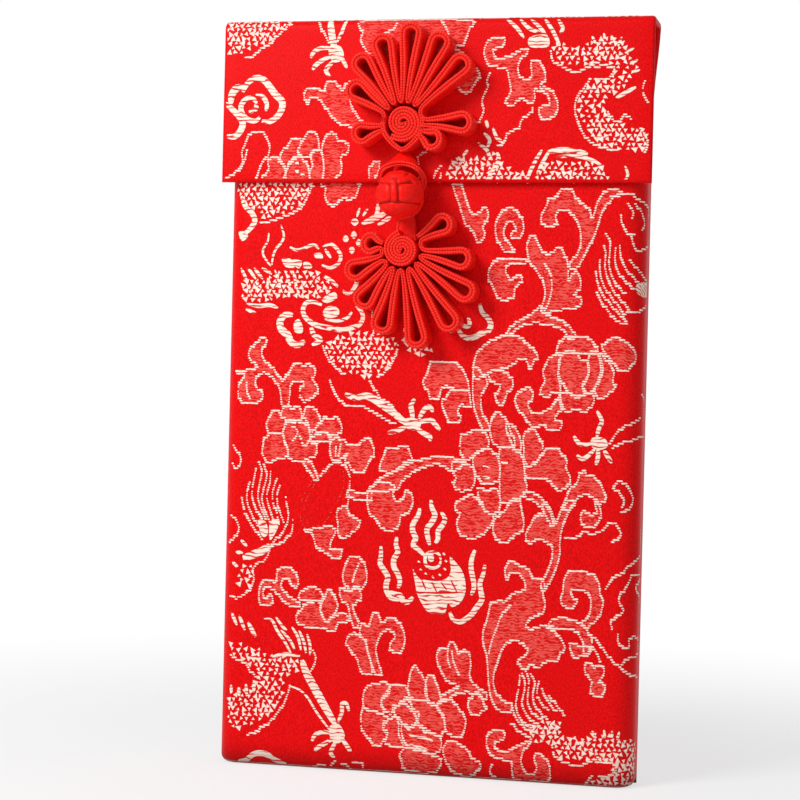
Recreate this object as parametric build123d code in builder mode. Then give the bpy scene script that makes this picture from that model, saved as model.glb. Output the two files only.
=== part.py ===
import math
import os

from build123d import *

os.makedirs("parts", exist_ok=True)

# Overall sizes in millimetres
body_width = 100.0
body_depth = 10.4
fold_height = 177.4
flap_width = 102.8
flap_drop = 38.4
mouth_drop = 6.0
side_radius = 5.0
fold_radius = 2.0
hem_radius = 0.5

# Layers of the wall, from the outside in
brocade = 0.5
card = 0.8
lining = 0.3
brocade_to_card = brocade + card
wall = brocade_to_card + lining

# Room between pieces that move
crease_gap = 0.2
flap_gap = 0.4
stem_gap = 0.35

# Side tabs
tab_land = 2.0
tab_flange = 8.0
tab_fold_radius = 0.6

# Strip of the frog, stood on edge
strip_height = 6.0
strip_thickness = 0.6
strip_gap = 0.45
strip_pitch = strip_thickness + strip_gap
strip_bend = 0.42

# Places of the frog: its middle line, then the coils and the button from the flap's edge
frog_x = -5.8
upper_coil_rise = 13.4
button_drop = 4.2
lower_coil_drop = 12.0
button_reach = 7.0
button_radius = 5.3
button_groove = 0.35
button_groove_share = 0.6

# Flower petals, as angles from the flower's outward axis and shares of its reach
flower_reach = 23.0
root_reach = 6.1
tip_base = 1.1
tip_share = 0.075
tip_round_share = 0.95
upper_angles = (-104, -56, -36, -16, 4, 24, 45, 90, 119)
upper_length_shares = (0.54, 0.69, 0.84, 0.92, 1.0, 0.98, 0.92, 0.71, 0.45)
lower_angles = (-100, -66, -37, -14, 11, 35, 58, 82, 122)
lower_length_shares = (0.43, 0.63, 0.73, 0.87, 1.0, 0.97, 0.88, 0.72, 0.59)

# Coiled centres
upper_coil_radius = 3.5
lower_coil_radius = 3.1
upper_half_turns = 6
lower_half_turns = 5

# Button loop
loop_radius = 6.1
loop_rise = 0.5
loop_sink = 1.2
loop_strip = 0.8
hood_rise = 10.3
hood_half_width = 3.2
hood_foot = 0.6
hood_top_reach = 1.8
arch_reach = 6.2
bight_foot = 1.8
bight_reach = 3.6

# Strands that hold the loop below the upper coil
neck_half_width = 4.7
neck_top = 1.2
neck_bend_drop = 2.2
neck_drop = 6.5
neck_bend = 3.0
neck_tip_bend = 0.6
neck_tip_height = 0.8
neck_slope_rise = 3.0

# Stem of the button
stem_width = 4.4
stem_rise = 0.3
stem_thickness = 2.1
stem_bend_rise = 1.9
stem_bight_gap = 0.9
stem_shoulder_share = 0.75

# Stitches that hold the flowers
stitch_width = 0.5
stitch_height = 0.4
stitch_slack = 0.1
stitch_place_share = 0.7
stitched_petals = (1, 4, 7)

back_face = body_depth / 2
front_face = -body_depth / 2
back_inside = back_face - wall
flap_face = front_face - flap_gap - wall
flap_edge = fold_height - flap_drop
upper_coil_height = flap_edge + upper_coil_rise
button_height = flap_edge - button_drop
lower_coil_height = button_height - lower_coil_drop
mouth = fold_height - mouth_drop
inner_top = mouth - brocade
crease_reach = 2 * wall
half_body = body_width / 2

# Areas of the folded wrap that belong to the back, the fold strip and the flap
back_area = [
    (back_face - crease_reach, 0),
    (back_face + wall, 0),
    (back_face + wall, fold_height + wall - crease_gap),
    (back_face - crease_reach, fold_height - crease_reach - crease_gap),
]
spine_area = [
    (back_face + wall, fold_height + wall + crease_gap),
    (back_face - crease_reach, fold_height - crease_reach + crease_gap),
    (flap_face + crease_reach, fold_height - crease_reach + crease_gap),
    (flap_face - wall, fold_height + wall + crease_gap),
]
flap_area = [
    (flap_face - wall, fold_height + wall - crease_gap),
    (flap_face + crease_reach, fold_height - crease_reach - crease_gap),
    (flap_face + crease_reach, flap_edge),
    (flap_face - wall, flap_edge),
]


# One layer of the wrap, between two depths below the outer face
def wrapped(outer_depth, inner_depth, area, width):
    middle = (outer_depth + inner_depth) / 2
    with BuildPart() as layer:
        with BuildSketch(Plane.YZ):
            with BuildLine():
                FilletPolyline(
                    (back_face - middle, 0),
                    (back_face - middle, fold_height - middle),
                    (flap_face + middle, fold_height - middle),
                    (flap_face + middle, flap_edge),
                    radius=fold_radius - middle,
                )
            trace(line_width=inner_depth - outer_depth)
            with BuildLine():
                Polyline(*area, close=True)
            make_face(mode=Mode.INTERSECT)
        extrude(amount=width / 2, both=True)
    return layer.part


# One layer round the front and sides of the pouch, between two depths
def tray_wall(outer_depth, inner_depth, end, low, high):
    middle = (outer_depth + inner_depth) / 2
    with BuildPart() as layer:
        with BuildSketch(Plane.XY.offset(low)):
            with BuildLine():
                FilletPolyline(
                    (middle - half_body, end),
                    (middle - half_body, front_face + middle),
                    (half_body - middle, front_face + middle),
                    (half_body - middle, end),
                    radius=side_radius - middle,
                )
            trace(line_width=inner_depth - outer_depth)
        extrude(amount=high - low)
    return layer.part


# A level plate inside the front and sides of the pouch
def tray_floor(depth, end, low, high):
    with BuildPart() as plate:
        with BuildSketch(Plane.XY.offset(low)):
            with BuildLine():
                FilletPolyline(
                    (depth - half_body, end),
                    (depth - half_body, front_face + depth),
                    (half_body - depth, front_face + depth),
                    (half_body - depth, end),
                    radius=side_radius - depth,
                )
                Line((half_body - depth, end), (depth - half_body, end))
            make_face()
        extrude(amount=high - low)
    return plate.part


# Back of the envelope
with BuildPart() as back_brocade:
    add(wrapped(0, wall, back_area, body_width))
    add(wrapped(brocade, wall, back_area, body_width - 2 * brocade), mode=Mode.SUBTRACT)

raised_back_area = [(back_area[0][0], brocade_to_card), (back_area[1][0], brocade_to_card)] + back_area[2:]
with BuildPart() as back_card:
    add(wrapped(brocade, brocade_to_card, raised_back_area, body_width - 2 * brocade))

with BuildPart() as back_lining:
    add(wrapped(brocade_to_card, wall, raised_back_area, body_width - 2 * brocade))

# Strip across the top, between the two creases
with BuildPart() as spine_brocade:
    add(wrapped(0, wall, spine_area, flap_width))
    add(wrapped(brocade, wall, spine_area, flap_width - 2 * brocade), mode=Mode.SUBTRACT)

with BuildPart() as spine_card:
    add(wrapped(brocade, brocade_to_card, spine_area, flap_width - 2 * brocade))

with BuildPart() as spine_lining:
    add(wrapped(brocade_to_card, wall, spine_area, flap_width - 2 * brocade))

# Flap, with its hems turned round the card
raised_flap_area = flap_area[:2] + [
    (flap_area[2][0], flap_edge + brocade),
    (flap_area[3][0], flap_edge + brocade),
]
with BuildPart() as flap_brocade:
    add(wrapped(0, wall, flap_area, flap_width))
    hem_edges = flap_brocade.edges().filter_by(Axis.Z)
    hem_edges += flap_brocade.edges().filter_by(Axis.X).group_by(Axis.Z)[0]
    fillet(hem_edges, hem_radius)
    add(wrapped(brocade, wall, raised_flap_area, flap_width - 2 * brocade), mode=Mode.SUBTRACT)

with BuildPart() as flap_card:
    add(wrapped(brocade, brocade_to_card, raised_flap_area, flap_width - 2 * brocade))

with BuildPart() as flap_lining:
    add(wrapped(brocade_to_card, wall, raised_flap_area, flap_width - 2 * brocade))

# Front of the pouch, with its brocade turned over the mouth
with BuildPart() as front_brocade:
    add(tray_wall(0, brocade, back_inside, 0, mouth))
    add(tray_wall(brocade, wall, back_inside, inner_top, mouth))

with BuildPart() as bottom_brocade:
    add(tray_floor(brocade, back_face - brocade, 0, brocade))

with BuildPart() as bottom_card:
    add(tray_floor(brocade, back_face - brocade, brocade, brocade_to_card))

card_half_width = half_body - side_radius - tab_land
card_middle = (brocade + brocade_to_card) / 2
with BuildPart() as front_card:
    with BuildSketch(Plane.XY.offset(brocade_to_card)):
        with BuildLine():
            Line(
                (-card_half_width, front_face + card_middle),
                (card_half_width, front_face + card_middle),
            )
        trace(line_width=card)
    extrude(amount=inner_top - brocade_to_card)

# Tabs that carry the front round to the back
flange_middle = back_inside - card / 2
with BuildPart() as left_side_tab:
    with BuildSketch(Plane.XY.offset(brocade_to_card)):
        with BuildLine():
            FilletPolyline(
                (-card_half_width, front_face + card_middle),
                (card_middle - half_body, front_face + card_middle),
                (card_middle - half_body, flange_middle),
                (tab_flange - half_body, flange_middle),
                radius=(side_radius - card_middle, tab_fold_radius),
            )
        trace(line_width=card)
    extrude(amount=inner_top - brocade_to_card)

with BuildPart() as right_side_tab:
    add(left_side_tab.part.mirror(Plane.YZ))

lining_end = back_inside - card / 2 - tab_fold_radius
with BuildPart() as front_lining:
    add(tray_wall(brocade_to_card, wall, lining_end, brocade_to_card, inner_top))
    add(tray_floor(wall, lining_end, brocade_to_card, wall))


# Plane on the cloth, with its own X to the right, its Y up and its normal outward
def cloth_plane(height, face):
    return Plane(origin=(frog_x, face, height), x_dir=(1, 0, 0), z_dir=(0, -1, 0))


# Point at a reach along a petal's axis and a step to its right
def petal_point(angle, reach, step, outward):
    turn = math.radians(angle)
    across = reach * math.sin(turn) + step * math.cos(turn)
    along = reach * math.cos(turn) - step * math.sin(turn)
    return (across, outward * along)


# Half the width of a petal's loop at its tip
def tip_half_width(length_share):
    return tip_base + tip_share * length_share * flower_reach


# Route of the strip from petal to petal, with the bend at each corner
def petal_route(angles, length_shares, outward):
    corners = []
    bends = []
    for angle, length_share in zip(angles, length_shares):
        length = length_share * flower_reach
        tip = tip_half_width(length_share)
        flare = math.atan2(tip - strip_pitch / 2, length - root_reach)
        tip_bend = tip_round_share * tip / math.tan(math.pi / 4 + flare / 2)
        corners.append(petal_point(angle, root_reach, -strip_pitch / 2, outward))
        corners.append(petal_point(angle, length, -tip, outward))
        corners.append(petal_point(angle, length, tip, outward))
        corners.append(petal_point(angle, root_reach, strip_pitch / 2, outward))
        bends += [strip_bend, tip_bend, tip_bend, strip_bend]
    return corners, bends[1:-1]


# Corners and bends of one side of a strip that follows a route
def strip_side(corners, bends, step):
    normals = []
    for start, end in zip(corners, corners[1:]):
        length = math.dist(start, end)
        normals.append(((start[1] - end[1]) / length, (end[0] - start[0]) / length))
    side_corners = []
    for corner, before, after in zip(corners, normals[:1] + normals, normals + normals[-1:]):
        spread = 1 + before[0] * after[0] + before[1] * after[1]
        across = corner[0] + step * (before[0] + after[0]) / spread
        along = corner[1] + step * (before[1] + after[1]) / spread
        side_corners.append((across, along))
    side_bends = []
    for bend, before, after in zip(bends, normals, normals[1:]):
        turn = before[0] * after[1] - before[1] * after[0]
        side_bends.append(bend - math.copysign(step, step * turn))
    return side_corners, side_bends


# Least gap between parts of one strip that aren't neighbours along it
def least_gap(route, name):
    step_share = 0.002
    count = round(1 / step_share)
    points = [route.position_at(index * step_share) for index in range(count + 1)]
    near = math.ceil(math.pi * strip_pitch / (route.length * step_share))
    gap = min(
        (points[first] - points[second]).length
        for first in range(count + 1)
        for second in range(first + near, count + 1)
    )
    print(name, "least gap to itself", round(gap - strip_thickness, 2), "mm")


# Coil of half turns that step inwards
def coil_arcs(radius, half_turns, outward):
    middle = 0
    for index in range(half_turns):
        turn_radius = radius - index * strip_pitch / 2
        side = 1 if index % 2 == 0 else -1
        CenterArc((middle, 0), turn_radius, 90 * (1 - side), 180 * outward)
        middle -= side * strip_pitch / 2


upper_cloth = cloth_plane(upper_coil_height, flap_face)
lower_cloth = cloth_plane(lower_coil_height, front_face)

# Upper flower, on the flap
upper_corners, upper_bends = petal_route(upper_angles, upper_length_shares, 1)
upper_left = strip_side(upper_corners, upper_bends, strip_thickness / 2)
upper_right = strip_side(upper_corners, upper_bends, -strip_thickness / 2)
with BuildPart() as upper_petals:
    with BuildSketch(upper_cloth):
        with BuildLine():
            FilletPolyline(*upper_left[0], radius=upper_left[1])
            FilletPolyline(*upper_right[0], radius=upper_right[1])
            Line(upper_left[0][0], upper_right[0][0])
            Line(upper_left[0][-1], upper_right[0][-1])
        make_face()
    extrude(amount=strip_height)
with BuildLine() as upper_petal_line:
    FilletPolyline(*upper_corners, radius=upper_bends)
least_gap(upper_petal_line.wires()[0], "upper_petals")

with BuildPart() as upper_coil:
    with BuildSketch(upper_cloth):
        with BuildLine() as upper_coil_line:
            coil_arcs(upper_coil_radius, upper_half_turns, 1)
        trace(line_width=strip_thickness)
    extrude(amount=strip_height)
least_gap(upper_coil_line.wires()[0], "upper_coil")

# Strands below the coil, cut back at their tip to leave room for the loop to lift
frog_side = Plane(origin=(frog_x, 0, 0), x_dir=(0, 1, 0), z_dir=(1, 0, 0))
neck_tip = upper_coil_height - neck_drop
with BuildPart() as loop_neck:
    with BuildSketch(upper_cloth):
        with BuildLine():
            FilletPolyline(
                (-neck_half_width, neck_top),
                (-neck_half_width, -neck_bend_drop),
                (0, -neck_drop),
                (neck_half_width, -neck_bend_drop),
                (neck_half_width, neck_top),
                radius=(neck_bend, neck_tip_bend, neck_bend),
            )
        trace(line_width=strip_thickness)
    extrude(amount=strip_height)
    with BuildSketch(frog_side):
        with BuildLine():
            Polyline(
                (flap_face - neck_tip_height, neck_tip - strip_height),
                (flap_face - neck_tip_height, neck_tip),
                (flap_face - strip_height, neck_tip + neck_slope_rise),
                (flap_face - 2 * strip_height, neck_tip + neck_slope_rise),
                (flap_face - 2 * strip_height, neck_tip - strip_height),
                close=True,
            )
        make_face()
    extrude(amount=2 * neck_half_width, both=True, mode=Mode.SUBTRACT)

# Lower flower, on the front
lower_corners, lower_bends = petal_route(lower_angles, lower_length_shares, -1)
lower_left = strip_side(lower_corners, lower_bends, strip_thickness / 2)
lower_right = strip_side(lower_corners, lower_bends, -strip_thickness / 2)
with BuildPart() as lower_petals:
    with BuildSketch(lower_cloth):
        with BuildLine():
            FilletPolyline(*lower_left[0], radius=lower_left[1])
            FilletPolyline(*lower_right[0], radius=lower_right[1])
            Line(lower_left[0][0], lower_right[0][0])
            Line(lower_left[0][-1], lower_right[0][-1])
        make_face()
    extrude(amount=strip_height)
with BuildLine() as lower_petal_line:
    FilletPolyline(*lower_corners, radius=lower_bends)
least_gap(lower_petal_line.wires()[0], "lower_petals")

with BuildPart() as lower_coil:
    with BuildSketch(lower_cloth):
        with BuildLine() as lower_coil_line:
            coil_arcs(lower_coil_radius, lower_half_turns, -1)
        trace(line_width=strip_thickness)
    extrude(amount=strip_height)
least_gap(lower_coil_line.wires()[0], "lower_coil")

# Button loop, with a hood that slopes out over the button
loop_plane = cloth_plane(button_height, flap_face)
loop_outside = loop_radius + loop_strip
loop_top = button_height + loop_rise + loop_outside
loop_bottom = button_height - loop_sink - loop_outside
bight_inside = button_height - loop_sink - loop_radius
hood_height = button_height + hood_rise
slot_middle = (loop_rise - loop_sink) / 2
with BuildPart() as button_loop:
    with BuildSketch(loop_plane):
        with Locations((0, slot_middle)):
            SlotCenterToCenter(loop_rise + loop_sink, 2 * loop_outside, rotation=90)
        with BuildLine():
            Polyline(
                (-hood_half_width, hood_rise),
                (hood_half_width, hood_rise),
                (loop_outside, loop_rise),
                (-loop_outside, loop_rise),
                close=True,
            )
        make_face()
    extrude(amount=arch_reach)
    with BuildSketch(frog_side):
        with BuildLine():
            Polyline(
                (flap_face - hood_foot, hood_height),
                (flap_face - hood_top_reach, hood_height),
                (flap_face - arch_reach, loop_top),
                (flap_face - bight_reach, loop_bottom),
                (flap_face - bight_foot, loop_bottom),
                (flap_face - bight_foot, bight_inside),
                (flap_face - hood_foot, button_height),
                close=True,
            )
        make_face()
    extrude(amount=loop_outside, both=True, mode=Mode.INTERSECT)
    with BuildSketch(loop_plane):
        with Locations((0, slot_middle)):
            SlotCenterToCenter(loop_rise + loop_sink, 2 * loop_radius, rotation=90)
    extrude(amount=arch_reach, mode=Mode.SUBTRACT)

# Knotted ball, grooved where its strands cross
button_middle = (frog_x, flap_face - button_reach, button_height)
groove_step = button_groove_share * button_radius
groove_ring = math.sqrt(button_radius**2 - groove_step**2)
with BuildPart() as button_knot:
    with Locations(button_middle):
        Sphere(button_radius)
        for side in (-1, 1):
            with Locations((0, 0, side * groove_step)):
                Torus(groove_ring, button_groove, mode=Mode.SUBTRACT)
            with Locations((side * groove_step, 0, 0)):
                Torus(groove_ring, button_groove, rotation=(0, 90, 0), mode=Mode.SUBTRACT)

# Stem that passes behind the loop's lower bend and rises to the ball
coil_top = lower_coil_height + lower_coil_radius + strip_thickness / 2
stem_low = coil_top + stem_rise
stem_back = front_face - stem_gap
stem_front = stem_back - stem_thickness
stem_bend = bight_inside + stem_bend_rise
stem_meet = flap_face - button_reach * stem_shoulder_share
with BuildPart() as button_stem:
    with BuildSketch(frog_side):
        with BuildLine():
            Polyline(
                (stem_back, stem_low),
                (stem_back - stem_gap, stem_bend),
                (stem_meet, button_height),
                (button_middle[1], button_height - button_radius / 2),
                (stem_meet, button_height - button_radius),
                (stem_front, bight_inside + stem_bight_gap),
                (stem_front, stem_low),
                close=True,
            )
        make_face()
    extrude(amount=stem_width / 2, both=True)
    with Locations(button_middle):
        Sphere(button_radius, mode=Mode.SUBTRACT)


# Thread bar on the cloth inside a petal
def stitch(cloth, angle, length_share, outward):
    length = length_share * flower_reach
    place = stitch_place_share * length
    widening = (place - root_reach) / (length - root_reach)
    root_half = strip_pitch / 2
    half = root_half + widening * (tip_half_width(length_share) - root_half)
    half -= strip_thickness / 2 + stitch_slack
    with BuildPart() as bar:
        with BuildSketch(cloth):
            with Locations(petal_point(angle, place, 0, outward)):
                Rectangle(2 * half, stitch_width, rotation=-outward * angle)
        extrude(amount=stitch_height)
    return bar.part


pieces = {
    "back_brocade": back_brocade.part,
    "back_card": back_card.part,
    "back_lining": back_lining.part,
    "spine_brocade": spine_brocade.part,
    "spine_card": spine_card.part,
    "spine_lining": spine_lining.part,
    "flap_brocade": flap_brocade.part,
    "flap_card": flap_card.part,
    "flap_lining": flap_lining.part,
    "front_brocade": front_brocade.part,
    "bottom_brocade": bottom_brocade.part,
    "bottom_card": bottom_card.part,
    "front_card": front_card.part,
    "left_side_tab": left_side_tab.part,
    "right_side_tab": right_side_tab.part,
    "front_lining": front_lining.part,
    "upper_petals": upper_petals.part,
    "upper_coil": upper_coil.part,
    "loop_neck": loop_neck.part,
    "lower_petals": lower_petals.part,
    "lower_coil": lower_coil.part,
    "button_loop": button_loop.part,
    "button_knot": button_knot.part,
    "button_stem": button_stem.part,
}
for number, petal in enumerate(stitched_petals, start=1):
    pieces[f"upper_stitch_{number}"] = stitch(
        upper_cloth, upper_angles[petal], upper_length_shares[petal], 1
    )
    pieces[f"lower_stitch_{number}"] = stitch(
        lower_cloth, lower_angles[petal], lower_length_shares[petal], -1
    )

for name, piece in pieces.items():
    piece.label = name
    export_step(piece, f"parts/{name}.step")
    print(name, len(piece.solids()), "solid", round(piece.volume, 1), "mm3", piece.is_valid)
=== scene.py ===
import math

import bmesh
import bpy
from mathutils import Matrix, Vector
from mathutils.geometry import tessellate_polygon


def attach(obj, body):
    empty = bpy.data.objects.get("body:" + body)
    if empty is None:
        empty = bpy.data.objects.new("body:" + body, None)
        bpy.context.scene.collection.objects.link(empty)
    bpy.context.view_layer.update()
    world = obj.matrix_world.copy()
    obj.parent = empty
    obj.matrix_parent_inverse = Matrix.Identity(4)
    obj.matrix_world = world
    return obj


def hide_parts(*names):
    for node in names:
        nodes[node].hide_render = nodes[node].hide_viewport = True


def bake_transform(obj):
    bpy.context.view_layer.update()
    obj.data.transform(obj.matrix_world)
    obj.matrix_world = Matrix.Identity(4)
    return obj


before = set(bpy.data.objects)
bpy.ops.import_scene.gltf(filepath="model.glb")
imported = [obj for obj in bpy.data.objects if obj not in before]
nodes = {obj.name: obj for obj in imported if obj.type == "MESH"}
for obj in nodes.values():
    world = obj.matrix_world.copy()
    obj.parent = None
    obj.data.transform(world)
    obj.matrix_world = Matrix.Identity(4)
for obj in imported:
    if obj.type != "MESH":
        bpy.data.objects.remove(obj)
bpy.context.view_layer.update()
mm = 0.001  # every size below is in millimetres, every mesh in metres
print("frame loaded:", len(nodes), "nodes")

# camera, as the picture was taken: a little to the right of the middle and nearly level
view = {
    "aim": (-7.94, 0.0, 88.03), "distance": 510.5, "lens": 96.7,
    "yaw": 13.37, "pitch": 0.47, "roll": -1.38, "side": 800, "sensor": 36.0,
}
turned = (
    Matrix.Rotation(math.radians(view["roll"]), 3, "Z")
    @ Matrix.Rotation(math.radians(view["pitch"]), 3, "X")
    @ Matrix.Rotation(math.radians(-view["yaw"]), 3, "Y")
)
viewRight, viewUp, viewBack = (Vector((row[0], -row[2], row[1])) for row in turned)
viewEye = Vector(view["aim"]) + viewBack * view["distance"]

cameraData = bpy.data.cameras.new("photoCamera")
cameraData.lens = view["lens"]
cameraData.sensor_width = view["sensor"]
cameraData.clip_start = 0.01
camera = bpy.data.objects.new("photoCamera", cameraData)
bpy.context.scene.collection.objects.link(camera)
camera.matrix_world = Matrix.Translation(viewEye * mm) @ Matrix(
    (viewRight, viewUp, viewBack)
).transposed().to_4x4()
bpy.context.scene.camera = camera


# place on a flat panel of cloth that is seen at a point of the picture
def seenAt(px, py, panelY):
    half = view["side"] / 2
    focal = view["lens"] / view["sensor"] * view["side"]
    ray = viewRight * (px - half) + viewUp * (half - py) - viewBack * focal
    reach = (panelY - viewEye.y) / ray.y
    spot = viewEye + ray * reach
    return spot.x, spot.z


def newObject(name, mesh):
    made = bpy.data.objects.new(name, mesh)
    bpy.context.scene.collection.objects.link(made)
    return made


def meshObject(name, points, faces, material, smooth=True):
    mesh = bpy.data.meshes.new(name)
    mesh.from_pydata([tuple(p * mm for p in point) for point in points], [], faces)
    mesh.validate()
    if smooth:
        mesh.shade_smooth()
    mesh.materials.append(material)
    return newObject(name, mesh)

# every face turned to the outside of its shell
def turnOut(made):
    shell = bmesh.new()
    shell.from_mesh(made.data)
    bmesh.ops.recalc_face_normals(shell, faces=shell.faces)
    shell.to_mesh(made.data)
    shell.free()
    return made


# slow start and slow end between nought and one
def smoothStep(share):
    share = min(1.0, max(0.0, share))
    return share * share * (3 - 2 * share)


# place a share of the way from the second to the third of four, on a smooth curve through them
def between(before, one, two, after, share):
    return 0.5 * (
        2 * one + (two - before) * share + (2 * before - 5 * one + 4 * two - after) * share ** 2
        + (3 * one - before - 3 * two + after) * share ** 3
    )


def newMaterial(name):
    material = bpy.data.materials.new(name)
    material.use_nodes = True
    return material, material.node_tree, material.node_tree.nodes["Principled BSDF"]


# inputs of a node by name or number: each is a value, or the output that it is linked from
def feed(tree, node, inputs):
    for socket, value in inputs.items():
        if isinstance(value, bpy.types.NodeSocket):
            tree.links.new(value, node.inputs[socket])
        else:
            node.inputs[socket].default_value = value


def addNode(tree, kind, inputs=None, **settings):
    node = tree.nodes.new(kind)
    for name, value in settings.items():
        setattr(node, name, value)
    feed(tree, node, inputs or {})
    return node


def mathNode(tree, kind, *values):
    return addNode(tree, "ShaderNodeMath", dict(enumerate(values)), operation=kind).outputs[0]


def vectorNode(tree, kind, first, second):
    inputs = {0: first, "Scale" if kind == "SCALE" else 1: second}
    return addNode(tree, "ShaderNodeVectorMath", inputs, operation=kind).outputs[0]


def objectPlace(tree):
    return tree.nodes.new("ShaderNodeTexCoord").outputs["Object"]


def eased(tree, value, low, high):
    inputs = {"Value": value, "From Min": low, "From Max": high}
    return addNode(tree, "ShaderNodeMapRange", inputs, interpolation_type="SMOOTHSTEP").outputs["Result"]


def mixColour(tree, factor, first, second):
    first, second = ((*colour, 1.0) if isinstance(colour, tuple) else colour for colour in (first, second))
    return addNode(tree, "ShaderNodeMix", {0: factor, 6: first, 7: second}, data_type="RGBA").outputs[2]


def bumped(tree, height, distance, strength):
    inputs = {"Height": height, "Distance": distance * mm, "Strength": strength}
    return addNode(tree, "ShaderNodeBump", inputs).outputs["Normal"]


# woven grain shared by every cloth: a speckle drawn out along the warp, and broad unevenness
def makeGrainGroup():
    tree = bpy.data.node_groups.new("wovenGrain", "ShaderNodeTree")
    for name, way in (("Grain", "INPUT"), ("Draw", "INPUT"), ("Fine", "OUTPUT"), ("Broad", "OUTPUT")):
        tree.interface.new_socket(name, in_out=way, socket_type="NodeSocketFloat")
    given = tree.nodes.new("NodeGroupInput").outputs
    place = objectPlace(tree)
    stretch = addNode(tree, "ShaderNodeCombineXYZ", {"X": 1.0, "Y": 1.0, "Z": given["Draw"]}).outputs[0]
    drawn = vectorNode(tree, "MULTIPLY", place, stretch)
    fine = {"Vector": drawn, "Scale": given["Grain"], "Detail": 1.5}
    broad = {"Vector": place, "Scale": 60.0, "Detail": 3.0}
    addNode(tree, "NodeGroupOutput", {
        "Fine": addNode(tree, "ShaderNodeTexNoise", fine).outputs["Fac"],
        "Broad": addNode(tree, "ShaderNodeTexNoise", broad).outputs["Fac"],
    })
    return tree


grainGroup = makeGrainGroup()


def grainNode(tree, grain, draw):
    return addNode(tree, "ShaderNodeGroup", {"Grain": grain, "Draw": draw}, node_tree=grainGroup)


# painted shade: colour darkened to a share of itself where the light is nought
def shaded(tree, colour, light, dark):
    return vectorNode(tree, "SCALE", colour, mathNode(tree, "MULTIPLY_ADD", light, 1 - dark, dark))


# the foot's painted shade: how high it reaches, how far below the foot it starts, and how dark it gets
footPaintedShade = {"height": 7.0, "sink": 0.4, "dark": 0.25}


# painted shade towards the foot: colour darkened where the cloth turns under at the bottom
def footPaintedShaded(tree, colour):
    up = addNode(tree, "ShaderNodeSeparateXYZ", {0: objectPlace(tree)}).outputs["Z"]
    height = footPaintedShade["height"] * mm
    return shaded(tree, colour, eased(tree, up, -footPaintedShade["sink"] * height, height), footPaintedShade["dark"])


grainLook = {"low": 0.3, "high": 0.72, "roughSpread": 0.16, "sheenRough": 0.4, "bump": 0.6}


# cloth whose colour wanders with its grain, with painted shade towards the foot
def clothMaterial(name, look):
    material, tree, shader = newMaterial(name)
    grain = grainNode(tree, look["grain"], look["draw"])
    fine, spread = grain.outputs["Fine"], grainLook["roughSpread"]
    colour = mixColour(tree, eased(tree, fine, grainLook["low"], grainLook["high"]), look["deep"], look["light"])
    drift = mathNode(tree, "MULTIPLY", grain.outputs["Broad"], look["drift"])
    feed(tree, shader, {
        "Base Color": footPaintedShaded(tree, mixColour(tree, drift, colour, look["worn"])),
        "Roughness": mathNode(tree, "MULTIPLY_ADD", fine, spread, look["rough"] - spread / 2),
        "Specular IOR Level": look["gloss"], "Sheen Weight": look["sheen"],
        "Sheen Roughness": grainLook["sheenRough"], "Sheen Tint": (*look["sheenTint"], 1.0),
        "Normal": bumped(tree, fine, look["relief"], grainLook["bump"]),
    })
    return material


brocadeLook = {
    "deep": (0.66, 0.0, 0.001), "light": (0.94, 0.003, 0.004), "worn": (0.62, 0.0, 0.001), "drift": 0.25,
    "grain": 3900.0, "draw": 0.5, "rough": 0.45, "gloss": 0.09, "relief": 0.05,
    "sheen": 0.01, "sheenTint": (1.0, 0.2, 0.15),
}
brocade = clothMaterial("brocadeGround", brocadeLook)

satinLook = {
    "deep": (0.90, 0.004, 0.003), "light": (1.0, 0.016, 0.008), "worn": (0.84, 0.001, 0.001), "drift": 0.25,
    "grain": 1700.0, "draw": 0.8, "rough": 0.38, "gloss": 0.12, "relief": 0.03,
    "sheen": 0.03, "sheenTint": (1.0, 0.3, 0.2),
}
satin = clothMaterial("frogSatin", satinLook)

liningLook = {
    "deep": (0.62, 0.03, 0.03), "light": (0.72, 0.05, 0.045), "worn": (0.55, 0.02, 0.02), "drift": 0.4,
    "grain": 900.0, "draw": 1.0, "rough": 0.75, "gloss": 0.2, "relief": 0.02,
    "sheen": 0.05, "sheenTint": (1.0, 0.6, 0.5),
}
lining = clothMaterial("liningPaper", liningLook)

cardLook = {
    "deep": (0.66, 0.6, 0.5), "light": (0.82, 0.78, 0.69), "worn": (0.6, 0.53, 0.43), "drift": 0.35,
    "grain": 700.0, "draw": 1.0, "rough": 0.85, "gloss": 0.2, "relief": 0.03,
    "sheen": 0.0, "sheenTint": (1.0, 1.0, 1.0),
}
card = clothMaterial("greyCard", cardLook)

threadLook = {
    "deep": (0.55, 0.0, 0.004), "light": (0.75, 0.01, 0.012), "worn": (0.5, 0.0, 0.002), "drift": 0.2,
    "grain": 4000.0, "draw": 1.0, "rough": 0.6, "gloss": 0.3, "relief": 0.03,
    "sheen": 0.1, "sheenTint": (1.0, 0.4, 0.3),
}
thread = clothMaterial("sewingThread", threadLook)


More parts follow.
